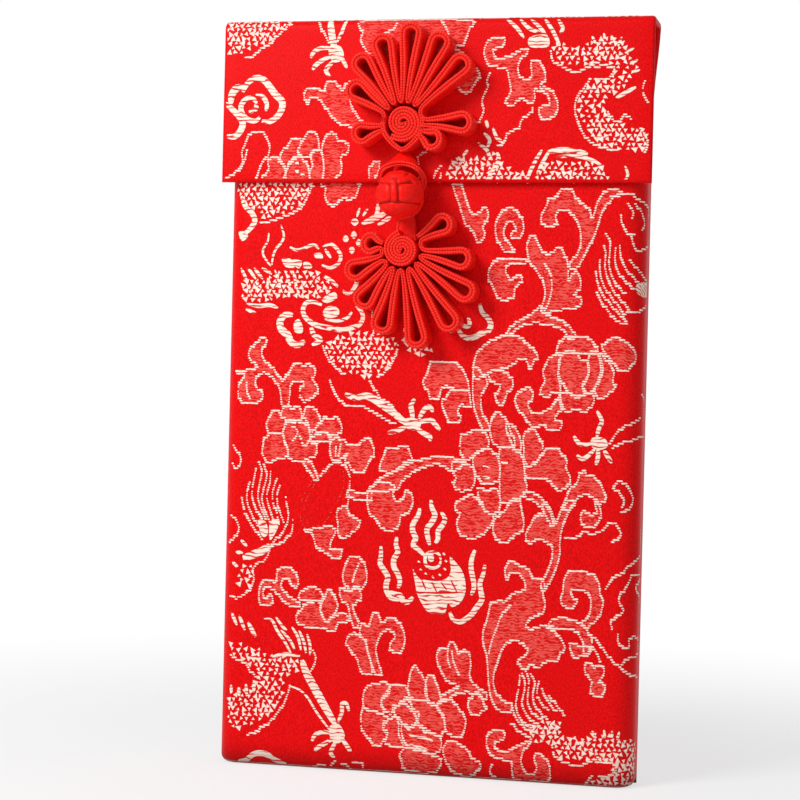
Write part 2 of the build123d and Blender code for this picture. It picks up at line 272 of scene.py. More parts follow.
# twisted cord: ridges across it, from the length along the strip, and its colour painted lighter on the ridges and
# darker between them as painted highlight and shade, over the grain's own tone
def cordMaterial(name, look):
    material, tree, shader = newMaterial(name)
    along = addNode(tree, "ShaderNodeAttribute", attribute_name="along").outputs["Fac"]
    turns = mathNode(tree, "MULTIPLY", along, 2 * math.pi / (look["twist"] * mm))
    wave = mathNode(tree, "MULTIPLY_ADD", mathNode(tree, "SINE", turns), 0.5, 0.5)
    grain = grainNode(tree, look["grain"], 1.0).outputs
    height = mathNode(tree, "ADD", wave, mathNode(tree, "MULTIPLY", grain["Fine"], look["fuzz"]))
    # painted highlight on the ridges and painted shade between them
    lit = mathNode(tree, "MULTIPLY", height, look["contrast"])
    feed(tree, shader, {
        "Base Color": mixColour(tree, lit, look["deep"], look["light"]),
        "Roughness": mathNode(tree, "MULTIPLY_ADD", grain["Broad"], look["roughSpread"], look["rough"]),
        "Specular IOR Level": look["gloss"], "Sheen Weight": look["sheen"],
        "Sheen Tint": (*look["sheenTint"], 1.0), "Normal": bumped(tree, height, look["relief"], grainLook["bump"]),
    })
    return material


cordLook = {
    "deep": (0.88, 0.004, 0.003), "light": (1.0, 0.05, 0.03), "twist": 0.62, "grain": 2500.0, "rough": 0.4,
    "fuzz": 0.4, "contrast": 0.7, "roughSpread": 0.2, "gloss": 0.12, "relief": 0.14,
    "sheen": 0.03, "sheenTint": (1.0, 0.35, 0.25),
}
cordSatin = cordMaterial("twistedRim", cordLook)
print("materials made")

# cloth of the pouch: its front, rounded sides and foot
pouch = {
    "halfWidth": 50.0, "front": -5.2, "back": 5.2, "cornerRadius": 5.0, "mouth": 171.4,
    "sideEnd": 3.9, "hemRadius": 0.5, "hemDepth": 3.5, "footRadius": 1.8, "underTurn": 1.2, "underBend": 0.4,
}
# lengths along the cloth from the middle: end of the flat, end of the corner, end of the side
pouch["flat"] = pouch["halfWidth"] - pouch["cornerRadius"]
pouch["corner"] = pouch["flat"] + pouch["cornerRadius"] * math.pi / 2
pouch["end"] = pouch["corner"] + pouch["sideEnd"] - pouch["front"] - pouch["cornerRadius"]

# cloth that goes up the flap, over the top and down the back; a run is a length along it from the flap's edge
wrap = {
    "flapHalf": 51.4, "backHalf": 50.0, "flapFace": -7.2, "flapEdge": 139.0, "top": 177.4, "back": 5.2,
    "foldRadius": 2.0, "edgeRadius": 0.8, "hem": 4.5, "thickness": 1.6, "narrowing": 22.0,
}
wrap["flapRun"] = wrap["top"] - wrap["foldRadius"] - wrap["flapEdge"]
wrap["arcRun"] = wrap["foldRadius"] * math.pi / 2
wrap["spineRun"] = wrap["back"] - wrap["flapFace"] - 2 * wrap["foldRadius"]
wrap["backRun"] = wrap["top"] - wrap["foldRadius"]
wrap["spineStart"] = wrap["flapRun"] + wrap["arcRun"]
wrap["spineEnd"] = wrap["spineStart"] + wrap["spineRun"]
wrap["backStart"] = wrap["spineEnd"] + wrap["arcRun"]
wrap["length"] = wrap["backStart"] + wrap["backRun"]
wrap["seam"] = wrap["spineStart"] + wrap["spineRun"] / 2

swells = {
    "broad": 0.09, "broadAcross": 9.0, "broadUp": 13.0, "fine": 0.06, "fineAcross": 4.3, "fineUp": 7.1, "start": 0.6,
    "flapShare": 0.6, "flapFade": 8.0, "flapAcross": 20.0, "flapUp": 50.0,
}


# slight unevenness of glued cloth
def puff(across, up):
    broad = math.sin(across / swells["broadAcross"] + swells["start"]) * math.sin(up / swells["broadUp"])
    fine = math.sin(across / swells["fineAcross"] + up / swells["fineUp"])
    return swells["broad"] * broad + swells["fine"] * fine


# point of the cloth round the front: across is measured along the cloth from the middle
def frontPoint(across, z, out=0.0):
    side = math.copysign(1.0, across)
    reach = abs(across)
    radius, flat = pouch["cornerRadius"], pouch["flat"]
    if reach <= flat:
        x, y, nx, ny = reach, pouch["front"], 0.0, -1.0
    elif reach <= pouch["corner"]:
        turn = (reach - flat) / radius
        nx, ny = math.sin(turn), -math.cos(turn)
        x, y = flat + radius * nx, pouch["front"] + radius + radius * ny
    else:
        x, nx, ny = pouch["halfWidth"], 1.0, 0.0
        y = pouch["front"] + radius + reach - pouch["corner"]
    out += puff(across, z) * max(0.0, 1.0 - reach / flat) ** 0.5
    return Vector((side * (x + out * nx), y + out * ny, z))


# point of the wrap, with how far it stands out from the cloth
def wrapPoint(x, run, out=0.0):
    radius = wrap["foldRadius"]
    if run <= wrap["flapRun"]:
        y, z, ny, nz = wrap["flapFace"], wrap["flapEdge"] + run, -1.0, 0.0
        fade = min(1.0, max(0.0, min(run, wrap["flapRun"] - run) / swells["flapFade"]))
        out += swells["flapShare"] * puff(x + swells["flapAcross"], run + swells["flapUp"]) * fade
    elif run <= wrap["spineStart"]:
        turn = (run - wrap["flapRun"]) / radius
        ny, nz = -math.cos(turn), math.sin(turn)
        y, z = wrap["flapFace"] + radius + radius * ny, wrap["top"] - radius + radius * nz
    elif run <= wrap["spineEnd"]:
        y, z, ny, nz = wrap["flapFace"] + radius + run - wrap["spineStart"], wrap["top"], 0.0, 1.0
    elif run <= wrap["backStart"]:
        turn = (run - wrap["spineEnd"]) / radius
        ny, nz = math.sin(turn), math.cos(turn)
        y, z = wrap["back"] - radius + radius * ny, wrap["top"] - radius + radius * nz
    else:
        y, z, ny, nz = wrap["back"], wrap["top"] - radius - (run - wrap["backStart"]), 1.0, 0.0
    return Vector((x, y + out * ny, z + out * nz))


# half width of the wrap: the flap is wider than the back
def wrapHalf(run):
    share = smoothStep((run - wrap["spineEnd"]) / wrap["narrowing"])
    return wrap["flapHalf"] + share * (wrap["backHalf"] - wrap["flapHalf"])


def spaced(start, end, step):
    count = max(1, round(abs(end - start) / step))
    return [start + (end - start) * index / count for index in range(count + 1)]


def mirrored(half):
    return [-value for value in reversed(half)] + [0.0] + half


def gridFaces(rows, columns):
    starts = [row * columns + column for row in range(rows - 1) for column in range(columns - 1)]
    return [(first, first + 1, first + columns + 1, first + columns) for first in starts]


# quads along a row of rings, on to the last or round to the first again
def ringFaces(rings, sides, closed=False, base=0):
    faces = []
    for index in range(rings if closed else rings - 1):
        here, after = base + index * sides, base + (index + 1) % rings * sides
        for step in range(sides):
            following = (step + 1) % sides
            faces.append((here + step, here + following, after + following, after + step))
    return faces


# front and sides of the pouch, rolled under at the foot and turned in at the mouth
def makeFrontCloth():
    flat, corner, end = pouch["flat"], pouch["corner"], pouch["end"]
    across = mirrored(spaced(0.0, flat, 2.0)[1:] + spaced(flat, corner, 0.6)[1:] + spaced(corner, end, 1.5)[1:])
    foot, hem, steps = pouch["footRadius"], pouch["hemRadius"], 8
    # each row: height, and how far it lies in from the face
    rows = [(0.0, foot + pouch["underTurn"]), (0.0, foot + pouch["underBend"])]
    for step in range(steps + 1):
        turn = math.pi / 2 * step / steps
        rows.append((foot - foot * math.cos(turn), foot - foot * math.sin(turn)))
    rows += [(z, 0.0) for z in spaced(foot, pouch["mouth"] - hem, 2.8)[1:]]
    for step in range(1, steps + 1):
        turn = math.pi * step / steps
        rows.append((pouch["mouth"] - hem + hem * math.sin(turn), hem - hem * math.cos(turn)))
    rows.append((pouch["mouth"] - pouch["hemDepth"], 2 * hem))
    points = [frontPoint(a, z, -inset) for z, inset in rows for a in across]
    made = meshObject("frontCloth", points, gridFaces(len(rows), len(across)), brocade)
    return made, (2 * end * mm, (pouch["mouth"] + foot + pouch["hemDepth"]) * mm)


frontCloth, frontFlat = makeFrontCloth()
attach(frontCloth, "pouch")
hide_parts("front_brocade")

footSheet = {
    "backHalf": 48.0, "backGap": 0.3, "rim": 0.06, "under": 0.02, "over": 0.42, "overRim": 0.4,
    "narrow": 0.985, "shallow": 0.9,
}


# foot of the pouch: one piece of cloth glued under the bottom card
def makeFootCloth():
    sheet = footSheet
    half = spaced(0.0, pouch["flat"], 3.0)[1:] + spaced(pouch["flat"], pouch["corner"], 0.8)[1:] + [pouch["end"]]
    rim = [frontPoint(a, sheet["rim"], -pouch["footRadius"]) for a in mirrored(half)]
    backRow = spaced(sheet["backHalf"], -sheet["backHalf"], 6.0)
    rim += [Vector((x, pouch["back"] - sheet["backGap"], sheet["rim"])) for x in backRow]
    count = len(rim)
    drawnIn = [(p.x * sheet["narrow"], p.y * sheet["shallow"]) for p in rim]
    points = rim + [Vector((x, y, z)) for z in (sheet["under"], sheet["over"]) for x, y in drawnIn]
    points += [Vector((p.x, p.y, sheet["overRim"])) for p in rim]
    faces = [tuple(reversed(range(count, 2 * count))), tuple(range(2 * count, 3 * count))]
    for one, two in ((0, 1), (2, 3), (3, 0)):
        for index in range(count):
            after = (index + 1) % count
            faces.append((one * count + index, one * count + after, two * count + after, two * count + index))
    return turnOut(meshObject("footCloth", points, faces, brocade, smooth=False))


footCloth = makeFootCloth()
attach(footCloth, "pouch")
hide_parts("bottom_brocade")


# hemmed cloth of one stretch of the wrap, with its edges rolled round the card
def makeWrapCloth(name, runs, rings, closedStart, closedEnd):
    columns, last = 41, len(runs) - 1

    def spread(row, column):
        return (wrapHalf(runs[row]) - wrap["edgeRadius"]) * (2 * column / (columns - 1) - 1)

    points = [wrapPoint(spread(row, column), run) for row, run in enumerate(runs) for column in range(columns)]
    faces = gridFaces(len(runs), columns)
    # spots round the rim: row, column, and the way out across and along; none where the rim is open
    starting = [-1.0 if closedStart and row == 0 else 0.0 for row in range(last + 1)]
    rim = [(row, 0, -1.0, starting[row]) for row in range(last, -1, -1)]
    rim += [(0, column, 0.0, -1.0) for column in range(1, columns - 1)] if closedStart else [None]
    rim += [(row, columns - 1, 1.0, starting[row]) for row in range(last + 1)]
    if closedEnd:
        rim[0], rim[-1] = (last, 0, -1.0, 1.0), (last, columns - 1, 1.0, 1.0)
        rim += [(last, column, 0.0, 1.0) for column in range(columns - 2, 0, -1)]
    pairs = list(zip(range(len(rim)), range(1, len(rim)))) + ([(len(rim) - 1, 0)] if closedEnd else [])
    before = [spot and spot[0] * columns + spot[1] for spot in rim]
    for outset, depth in rings:
        now = []
        for spot in rim:
            now.append(spot and len(points))
            if spot:
                row, column, sideX, sideRun = spot
                points.append(wrapPoint(spread(row, column) + outset * sideX, runs[row] + outset * sideRun, -depth))
        for one, two in pairs:
            if None not in (before[one], before[two]):
                faces.append((before[one], now[one], now[two], before[two]))
        before = now
    made = turnOut(meshObject(name, points, faces, brocade))
    middle = runs[len(runs) // 2]
    centre = wrapPoint(0, middle)
    nearest = min(made.data.polygons, key=lambda face: (face.center - centre * mm).length)
    if nearest.normal.dot(wrapPoint(0, middle, 1.0) - centre) < 0:
        made.data.flip_normals()
    return made


# half turn of a rolled edge and the hem behind it: how far out and how deep
def edgeRings(hem, steps=8):
    radius = wrap["edgeRadius"]
    turns = [math.pi * step / steps for step in range(1, steps + 1)]
    return [(radius * math.sin(turn), radius - radius * math.cos(turn)) for turn in turns] + [(-hem, 2 * radius)]


flapRuns = spaced(wrap["edgeRadius"], wrap["flapRun"], 1.6) + spaced(wrap["flapRun"], wrap["spineStart"], 0.35)[1:]
flapRuns += spaced(wrap["spineStart"], wrap["seam"], 1.0)[1:]
flapCloth = makeWrapCloth("flapCloth", flapRuns, edgeRings(wrap["hem"]), True, False)
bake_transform(flapCloth)
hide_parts("flap_brocade")

backHem = 1.0
backRuns = spaced(wrap["seam"], wrap["spineEnd"], 1.0) + spaced(wrap["spineEnd"], wrap["backStart"], 0.35)[1:]
backRuns += spaced(wrap["backStart"], wrap["length"] - wrap["edgeRadius"], 3.0)[1:]
backCloth = makeWrapCloth("backCloth", backRuns, edgeRings(backHem), False, True)
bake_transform(backCloth)
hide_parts("back_brocade", "spine_brocade")
print("brocade wrapped")

linings = {
    "inset": 3.2, "openInset": 1.2, "mouthRun": 3.5, "tabRun": 3.9, "footGap": 3.0, "outer": 0.04, "inner": 0.16,
}


# lining inside the wrap: a thin sheet that stops short of the edge by an inset at each row
def makeWrapLining(name, runs, insets):
    columns, rows = 31, len(runs)
    points = []
    for layer in (linings["outer"], linings["inner"]):
        for run, inset in zip(runs, insets):
            half = wrapHalf(run) - inset
            for column in range(columns):
                points.append(wrapPoint(half * (2 * column / (columns - 1) - 1), run, -wrap["thickness"] - layer))
    count = rows * columns
    faces = gridFaces(rows, columns)
    faces += [tuple(count + index for index in reversed(quad)) for quad in faces]
    rim = [row * columns for row in range(rows)]
    rim += [(rows - 1) * columns + column for column in range(1, columns)]
    rim += [row * columns + columns - 1 for row in range(rows - 2, -1, -1)]
    rim += list(range(columns - 2, 0, -1))
    faces += [(one, two, count + two, count + one) for one, two in zip(rim, rim[1:] + rim[:1])]
    return turnOut(meshObject(name, points, faces, lining))


flapLiningRuns = spaced(linings["inset"], wrap["flapRun"], 3.0) + spaced(wrap["flapRun"], wrap["spineStart"], 0.4)[1:]
flapLiningRuns += spaced(wrap["spineStart"], wrap["seam"], 1.4)[1:]
flapLining = makeWrapLining("flapLining", flapLiningRuns, [linings["inset"]] * len(flapLiningRuns))
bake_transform(flapLining)
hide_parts("flap_lining")

# wider above the mouth, where no side tab stands
mouthRun, tabRun = wrap["backStart"] + linings["mouthRun"], wrap["backStart"] + linings["tabRun"]
backLiningRuns = spaced(wrap["seam"], wrap["spineEnd"], 1.4) + spaced(wrap["spineEnd"], wrap["backStart"], 0.4)[1:]
backLiningRuns += spaced(wrap["backStart"], mouthRun, 1.8)[1:]
backLiningRuns += spaced(tabRun, wrap["length"] - linings["footGap"], 6.0)
backInsets = [linings["openInset"] if run <= mouthRun else linings["inset"] for run in backLiningRuns]
backLining = makeWrapLining("backLining", backLiningRuns, backInsets)
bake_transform(backLining)
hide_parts("back_lining", "spine_lining")
print("linings laid")

# frog: strips of satin stood on edge, with a twisted cord along each rim
frog = {
    "x": -5.8, "upperHeight": 152.3, "lowerHeight": 123.1, "ballHeight": 135.1,
    "flapFace": -7.2, "frontFace": -5.2, "reach": 23.2, "rootReach": 4.7, "rootHalf": 0.6, "tipHalf": 2.0,
    "tipRoom": 0.7, "tipRound": 1.06, "widening": 1.7, "rootGirth": 0.62, "girthGrowth": 0.7,
}
strip = {"Thickness": 1.55, "Height": 5.8, "Cord": 0.38, "Cord Spread": 0.4, "Step": 0.4}


# a node tree with named inputs: a curve, sizes, whole numbers and materials
def newTree(name, sizes, counts, materials):
    tree = bpy.data.node_groups.new(name, "GeometryNodeTree")
    tree.is_modifier = True
    kinds = [("Geometry", "Geometry")] + [(size, "Float") for size in sizes]
    kinds += [(count, "Int") for count in counts] + [(material, "Material") for material in materials]
    for socket, kind in kinds:
        tree.interface.new_socket(socket, in_out="INPUT", socket_type="NodeSocket" + kind)
    tree.interface.new_socket("Geometry", in_out="OUTPUT", socket_type="NodeSocketGeometry")
    return tree, tree.nodes.new("NodeGroupInput").outputs, tree.nodes.new("NodeGroupOutput")


def resampled(tree, curve, step):
    return addNode(tree, "GeometryNodeResampleCurve", {"Curve": curve, "Length": step}, mode="LENGTH").outputs[0]


# curve in even steps, with the profile that follows it kept upright
def uprightCurve(tree, curve, step):
    even = resampled(tree, curve, step)
    return addNode(tree, "GeometryNodeSetCurveNormal", {"Curve": even}, mode="Z_UP").outputs[0]


# node tree that stands a corded strip along a flat curve
def makeStripTree():
    tree, given, end = newTree("cordedStrip", strip, (), ("Wall", "Rim"))

    def moved(geometry, x, y):
        place = addNode(tree, "ShaderNodeCombineXYZ", {"X": x, "Y": y}).outputs[0]
        return addNode(tree, "GeometryNodeTransform", {"Geometry": geometry, "Translation": place}).outputs[0]

    # kept on each point of the curve: length so far, place and girth
    curve = uprightCurve(tree, given["Geometry"], given["Step"])
    place = tree.nodes.new("GeometryNodeInputPosition").outputs[0]
    length = tree.nodes.new("GeometryNodeSplineParameter").outputs["Length"]
    radius = tree.nodes.new("GeometryNodeInputRadius").outputs[0]
    kept = (("along", "FLOAT", length), ("middle", "FLOAT_VECTOR", place), ("girth", "FLOAT", radius))
    for name, kind, value in kept:
        inputs = {"Geometry": curve, "Name": name, "Value": value}
        curve = addNode(tree, "GeometryNodeStoreNamedAttribute", inputs, data_type=kind, domain="POINT").outputs[0]
    curve = addNode(tree, "GeometryNodeSetCurveRadius", {"Curve": curve, "Radius": 1.0}).outputs[0]

    sizes = {"Width": given["Thickness"], "Height": given["Height"]}
    wall = addNode(tree, "GeometryNodeCurvePrimitiveQuadrilateral", sizes).outputs[0]
    rounding = {"Curve": wall, "Count": 2, "Radius": mathNode(tree, "MULTIPLY", given["Thickness"], 0.3)}
    wall = addNode(tree, "GeometryNodeFilletCurve", rounding, mode="POLY").outputs[0]
    wall = moved(wall, 0.0, mathNode(tree, "MULTIPLY", given["Height"], 0.5))
    girdle = {"Resolution": 10, "Radius": given["Cord"]}
    ring = addNode(tree, "GeometryNodeCurvePrimitiveCircle", girdle, mode="RADIUS").outputs[0]
    top = mathNode(tree, "ADD", given["Height"], mathNode(tree, "MULTIPLY", given["Cord"], 0.15))
    cords = tree.nodes.new("GeometryNodeJoinGeometry")
    for side in (-1, 1):
        across = mathNode(tree, "MULTIPLY", given["Cord Spread"], side)
        tree.links.new(moved(ring, across, top), cords.inputs[0])
    join = tree.nodes.new("GeometryNodeJoinGeometry")
    for profile, socket in ((wall, "Wall"), (cords.outputs[0], "Rim")):
        sweep = {"Curve": curve, "Profile Curve": profile, "Fill Caps": True}
        swept = addNode(tree, "GeometryNodeCurveToMesh", sweep).outputs[0]
        paint = addNode(tree, "GeometryNodeSetMaterial", {"Geometry": swept, "Material": given[socket]})
        tree.links.new(paint.outputs[0], join.inputs[0])
    # drawn in or out from the curve by its girth, not in height
    middle, girth = (
        addNode(tree, "GeometryNodeInputNamedAttribute", {"Name": name}, data_type=kind).outputs["Attribute"]
        for name, kind in (("middle", "FLOAT_VECTOR"), ("girth", "FLOAT"))
    )
    level = vectorNode(tree, "MULTIPLY", vectorNode(tree, "SUBTRACT", place, middle), (1.0, 1.0, 0.0))
    drawn = vectorNode(tree, "SCALE", level, mathNode(tree, "SUBTRACT", girth, 1.0))
    shift = addNode(tree, "GeometryNodeSetPosition", {"Geometry": join.outputs[0], "Offset": drawn})
    soft = addNode(tree, "GeometryNodeSetShadeSmooth", {0: shift.outputs[0]})
    real = addNode(tree, "GeometryNodeRealizeInstances", {"Geometry": soft.outputs[0]})
    tree.links.new(real.outputs[0], end.inputs["Geometry"])
    return tree


stripTree = makeStripTree()


# flat curves become a plain mesh through a node tree, with its inputs given by name
def throughTree(name, tree, splines, values, nurbs=True, cyclic=False):
    curve = bpy.data.curves.new(name, "CURVE")
    curve.dimensions = "3D"
    curve.resolution_u = 8
    for control in splines:
        spline = curve.splines.new("NURBS" if nurbs else "POLY")
        spline.points.add(len(control) - 1)
        for point, place in zip(spline.points, control):
            point.co = (place[0] * mm, place[1] * mm, 0.0, 1.0)
            point.radius = place[2] if len(place) > 2 else 1.0
        spline.use_cyclic_u = cyclic
        if nurbs:
            spline.order_u = 4
            spline.use_endpoint_u = not cyclic
    path = newObject(name + "Path", curve)
    modifier = path.modifiers.new("nodes", "NODES")
    modifier.node_group = tree
    for item in tree.interface.items_tree:
        if item.item_type == "SOCKET" and item.in_out == "INPUT" and item.name in values:
            modifier[item.identifier] = values[item.name]
    graph = bpy.context.evaluated_depsgraph_get()
    mesh = bpy.data.meshes.new_from_object(path.evaluated_get(graph), depsgraph=graph)
    mesh.name = name
    bpy.data.objects.remove(path)
    return newObject(name, mesh)


def makeStrip(name, route, height, face):
    values = {size: value * mm for size, value in strip.items()}
    made = throughTree(name, stripTree, [route], {**values, "Wall": satin, "Rim": cordSatin})
    for vertex in made.data.vertices:
        right, up, out = vertex.co
        vertex.co = (frog["x"] * mm + right, face * mm + out, height * mm + up)
    turnOut(made).data.shade_smooth()
    return made


upperFlower = {
    "angles": (-104, -56, -36, -16, 4, 24, 45, 90, 119),
    "shares": (0.54, 0.69, 0.84, 0.92, 1.0, 0.98, 0.92, 0.71, 0.45), "outward": 1,
}
lowerFlower = {
    "angles": (-100, -66, -37, -14, 11, 35, 58, 82, 122),
    "shares": (0.43, 0.63, 0.73, 0.87, 1.0, 0.97, 0.88, 0.72, 0.59), "outward": -1,
}


# one strip that runs out and back through every petal; its strands lie side by side but for the round tip
def petalRoute(flower):
    route = []
    root, half, tip = frog["rootReach"], frog["rootHalf"], frog["tipHalf"]
    for angle, share in zip(flower["angles"], flower["shares"]):
        bend = share * frog["reach"] - frog["tipRoom"] - tip
        outline = []
        for step in range(7):
            part = step / 6
            girth = min(1.0, frog["rootGirth"] + frog["girthGrowth"] * part)
            outline.append((root + (bend - root) * part, half + (tip - half) * part ** frog["widening"], girth))
        for step in range(1, 4):
            turn = math.pi / 2 * step / 3.5
            outline.append((
                bend + tip * math.sin(turn) * frog["tipRound"], tip * math.cos(turn) * frog["tipRound"], 1.0,
            ))
        turn = math.radians(angle)
        for reach, side, girth in [(reach, -side, girth) for reach, side, girth in outline] + outline[::-1]:
            across = reach * math.sin(turn) + side * math.cos(turn)
            along = reach * math.cos(turn) - side * math.sin(turn)
            route.append((across, flower["outward"] * along, girth))
    return route


def coilRoute(coil):
    route = []
    steps = 14
    for index in range(round(coil["turns"] * steps) + 1):
        radius = max(coil["inner"], coil["outer"] - coil["pitch"] * index / steps)
        turn = math.radians(coil["start"]) + 2 * math.pi * index / steps
        route.append((radius * math.cos(turn), radius * math.sin(turn), coil["girth"]))
    return route


def finishFrog(made, body, *replaced):
    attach(made, body)
    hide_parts(*replaced)
    print(made.name, len(made.data.polygons), "faces")


upperCoilShape = {"outer": 4.1, "inner": 0.4, "pitch": 1.55, "turns": 2.4, "start": 230, "girth": 0.94}
lowerCoilShape = {"outer": 4.0, "inner": 0.4, "pitch": 1.5, "turns": 2.4, "start": 100, "girth": 0.92}
neckRoute = [
    (-4.5, 1.2, 0.6), (-4.75, -0.6, 0.7), (-4.5, -2.4, 0.75), (-2.9, -4.3, 0.8), (-0.6, -6.3, 0.7),
    (0.6, -6.3, 0.7), (2.9, -4.3, 0.8), (4.5, -2.4, 0.75), (4.75, -0.6, 0.7), (4.5, 1.2, 0.6),
]
onFlap = (frog["upperHeight"], frog["flapFace"])
onFront = (frog["lowerHeight"], frog["frontFace"])
finishFrog(makeStrip("upperPetals", petalRoute(upperFlower), *onFlap), "flap", "upper_petals")
finishFrog(makeStrip("lowerPetals", petalRoute(lowerFlower), *onFront), "pouch", "lower_petals")
finishFrog(makeStrip("upperCoil", coilRoute(upperCoilShape), *onFlap), "flap", "upper_coil")
finishFrog(makeStrip("lowerCoil", coilRoute(lowerCoilShape), *onFront), "pouch", "lower_coil")
finishFrog(makeStrip("loopNeck", neckRoute, *onFlap), "flap", "loop_neck")


# a round cord laid along a row of places; its points keep the length so far
def addCord(points, faces, along, places, outward, radius, closed):
    base, count, sides = len(points), len(places), 10
    travelled = 0.0
    for index, place in enumerate(places):
        before = places[index - 1] if closed or index > 0 else place
        after = places[(index + 1) % count] if closed or index < count - 1 else place
        side = (after - before).normalized().cross(outward[index]).normalized()
        for step in range(sides):
            turn = 2 * math.pi * step / sides
            points.append(place + radius * (side * math.cos(turn) + outward[index] * math.sin(turn)))
            along.append(travelled * mm)
        travelled += (after - place).length
    faces += ringFaces(count, sides, closed, base)
    if not closed:
        for first in (base, base + (count - 1) * sides):
            faces.append(tuple(range(first, first + sides)))


# satin walls and cords as one mesh
def cordedMesh(name, points, faces, wallFaces, along):
    made = meshObject(name, points, faces, satin)
    made.data.materials.append(cordSatin)
    for polygon in made.data.polygons[wallFaces:]:
        polygon.material_index = 1
    made.data.attributes.new("along", "FLOAT", "POINT").data.foreach_set("value", along)
    return turnOut(made)


# loop that closes behind the ball: a band that stands out over the ball's top like a visor
loop = {
    "rimAcross": 4.25, "rimTop": 3.45, "rimFoot": 4.3, "rimOut": -8.85, "rimLift": 4.7, "footSink": -0.3,
    "visorStart": 0.4, "visorRun": 0.5, "visorFlare": 0.4,
    "backAcross": 4.3, "backTop": 10.7, "backFoot": 4.5, "backOut": -7.95, "footOut": 0.6, "topOut": 1.6,
    "sideShift": -0.35, "topShift": -0.25, "pinch": 0.4, "squareness": 0.6, "risePower": 1.15, "wall": 0.6,
    "bow": 0.25, "cord": 0.28, "cordSpread": 1.15, "turns": 96, "steps": 6, "nudge": 0.01,
}


def loopMiddle(share):
    return frog["x"] + loop["sideShift"] + (loop["topShift"] - loop["sideShift"]) * share


def loopRim(turn):
    up, across = math.sin(turn), math.cos(turn)
    raised = smoothStep((up - loop["visorStart"]) / loop["visorRun"])
    radius = loop["rimAcross"] + loop["rimTop"] * raised ** loop["visorFlare"]
    rise = radius * up if up > 0 else loop["rimFoot"] * up
    sink = loop["rimLift"] * raised if up > 0 else loop["footSink"] * up
    return Vector((loopMiddle(raised) + radius * across, loop["rimOut"] - sink, frog["ballHeight"] + rise))


def loopBack(turn):
    up, across = math.sin(turn), math.cos(turn)
    middle = loopMiddle(max(0.0, up))
    if up > 0:
        across = math.copysign(abs(across) ** loop["squareness"], across)
        narrow = 1.0 - loop["pinch"] * up ** 3
        rise = loop["backTop"] * up ** loop["risePower"]
        out = loop["backOut"] - loop["topOut"] * up ** 4
    else:
        narrow, rise = 1.0, loop["backFoot"] * up
        out = loop["backOut"] + loop["footOut"] * up
    return Vector((middle + loop["backAcross"] * narrow * across, out, frog["ballHeight"] + rise))


def makeLoop():
    points = []
    count, steps, nudge = loop["turns"], loop["steps"], loop["nudge"]
    turns = [2 * math.pi * index / count for index in range(count)]
    shares = [step / steps for step in range(steps + 1)]
    for turn in turns:
        rim, back = loopRim(turn), loopBack(turn)
        face = (loopRim(turn + nudge) - rim).normalized().cross(rim - back).normalized()
        if face.dot(rim - Vector((frog["x"], rim.y, frog["ballHeight"]))) < 0:
            face = -face
        for half, row in ((loop["wall"] / 2, shares), (-loop["wall"] / 2, shares[::-1])):
            for share in row:
                bow = loop["bow"] * math.sin(math.pi * share)
                points.append(back.lerp(rim, share) + face * (bow + half))
    faces = ringFaces(count, 2 * (steps + 1), True)
    wallFaces = len(faces)
    along = [0.0] * len(points)
    for offset in (-0.5, 0.5):
        places, outward = [], []
        for turn in turns:
            rim = loopRim(turn)
            tangent = (loopRim(turn + nudge) - loopRim(turn - nudge)).normalized()
            outward.append((rim - loopBack(turn)).normalized())
            face = tangent.cross(outward[-1]).normalized()
            places.append(rim + face * (offset * loop["cordSpread"] * loop["wall"]))
        addCord(points, faces, along, places, outward, loop["cord"], True)
    return cordedMesh("buttonLoop", points, faces, wallFaces, along)


buttonLoop = makeLoop()
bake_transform(buttonLoop)
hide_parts("button_loop")

# knotted ball: swollen strands that cross over one another, with furrows between them
ball = {
    "radius": 5.05, "swell": 0.5, "reach": 14.2, "height": 135.6, "columns": 180, "rows": 110,
    # the furrow values set the painted shade: how dark the furrows are painted, and where the darkening starts and
    # ends
    "edgePower": 5, "backRidges": 5, "backFurrow": 0.3, "furrowPaintedShade": 0.5, "furrowLow": 0.1, "furrowHigh": 0.75,
    # each strand: middle across and up as the picture shows it, half width and half height, lean, lift
    "strands": [
        ((-0.18, 0.8), (0.5, 0.17), -4, 0.3),
        ((-0.55, 0.55), (0.43, 0.11), -14, 0.1),
        ((0.18, 0.54), (0.3, 0.12), 12, 0.1),
        ((0.72, 0.5), (0.5, 0.16), -40, 0.1),
        ((-0.77, 0.0), (0.36, 0.42), 3, 0.0),
        ((-0.25, 0.0), (0.14, 0.43), 1, 0.3),
        ((0.54, -0.03), (0.6, 0.42), 0, 0.1),
        ((-0.02, -0.84), (1.15, 0.38), 0, 0.0),
    ],
}


# how far a strand swells at a place on the ball: full in its middle, falling off at its edges
def strandSwell(strand, across, up):
    middle, half, lean, lift = strand
    turn = math.radians(lean)
    dx, dy = across - middle[0], up - middle[1]
    u = (dx * math.cos(turn) + dy * math.sin(turn)) / half[0]
    v = (-dx * math.sin(turn) + dy * math.cos(turn)) / half[1]
    edge = abs(u) ** ball["edgePower"] + abs(v) ** ball["edgePower"]
    return math.sqrt(1.0 - edge) * (1.0 + lift) if edge < 1.0 else 0.0


# satin with painted shade: its colour darkened in the furrows between the strands
def knotPaintedShadeMaterial(name, look):
    material = clothMaterial(name, look)
    tree = material.node_tree
    colour = tree.nodes["Principled BSDF"].inputs["Base Color"]
    crest = addNode(tree, "ShaderNodeAttribute", attribute_name="crest").outputs["Fac"]
    light = eased(tree, crest, ball["furrowLow"], ball["furrowHigh"])
    tree.links.new(shaded(tree, colour.links[0].from_socket, light, ball["furrowPaintedShade"]), colour)
    return material


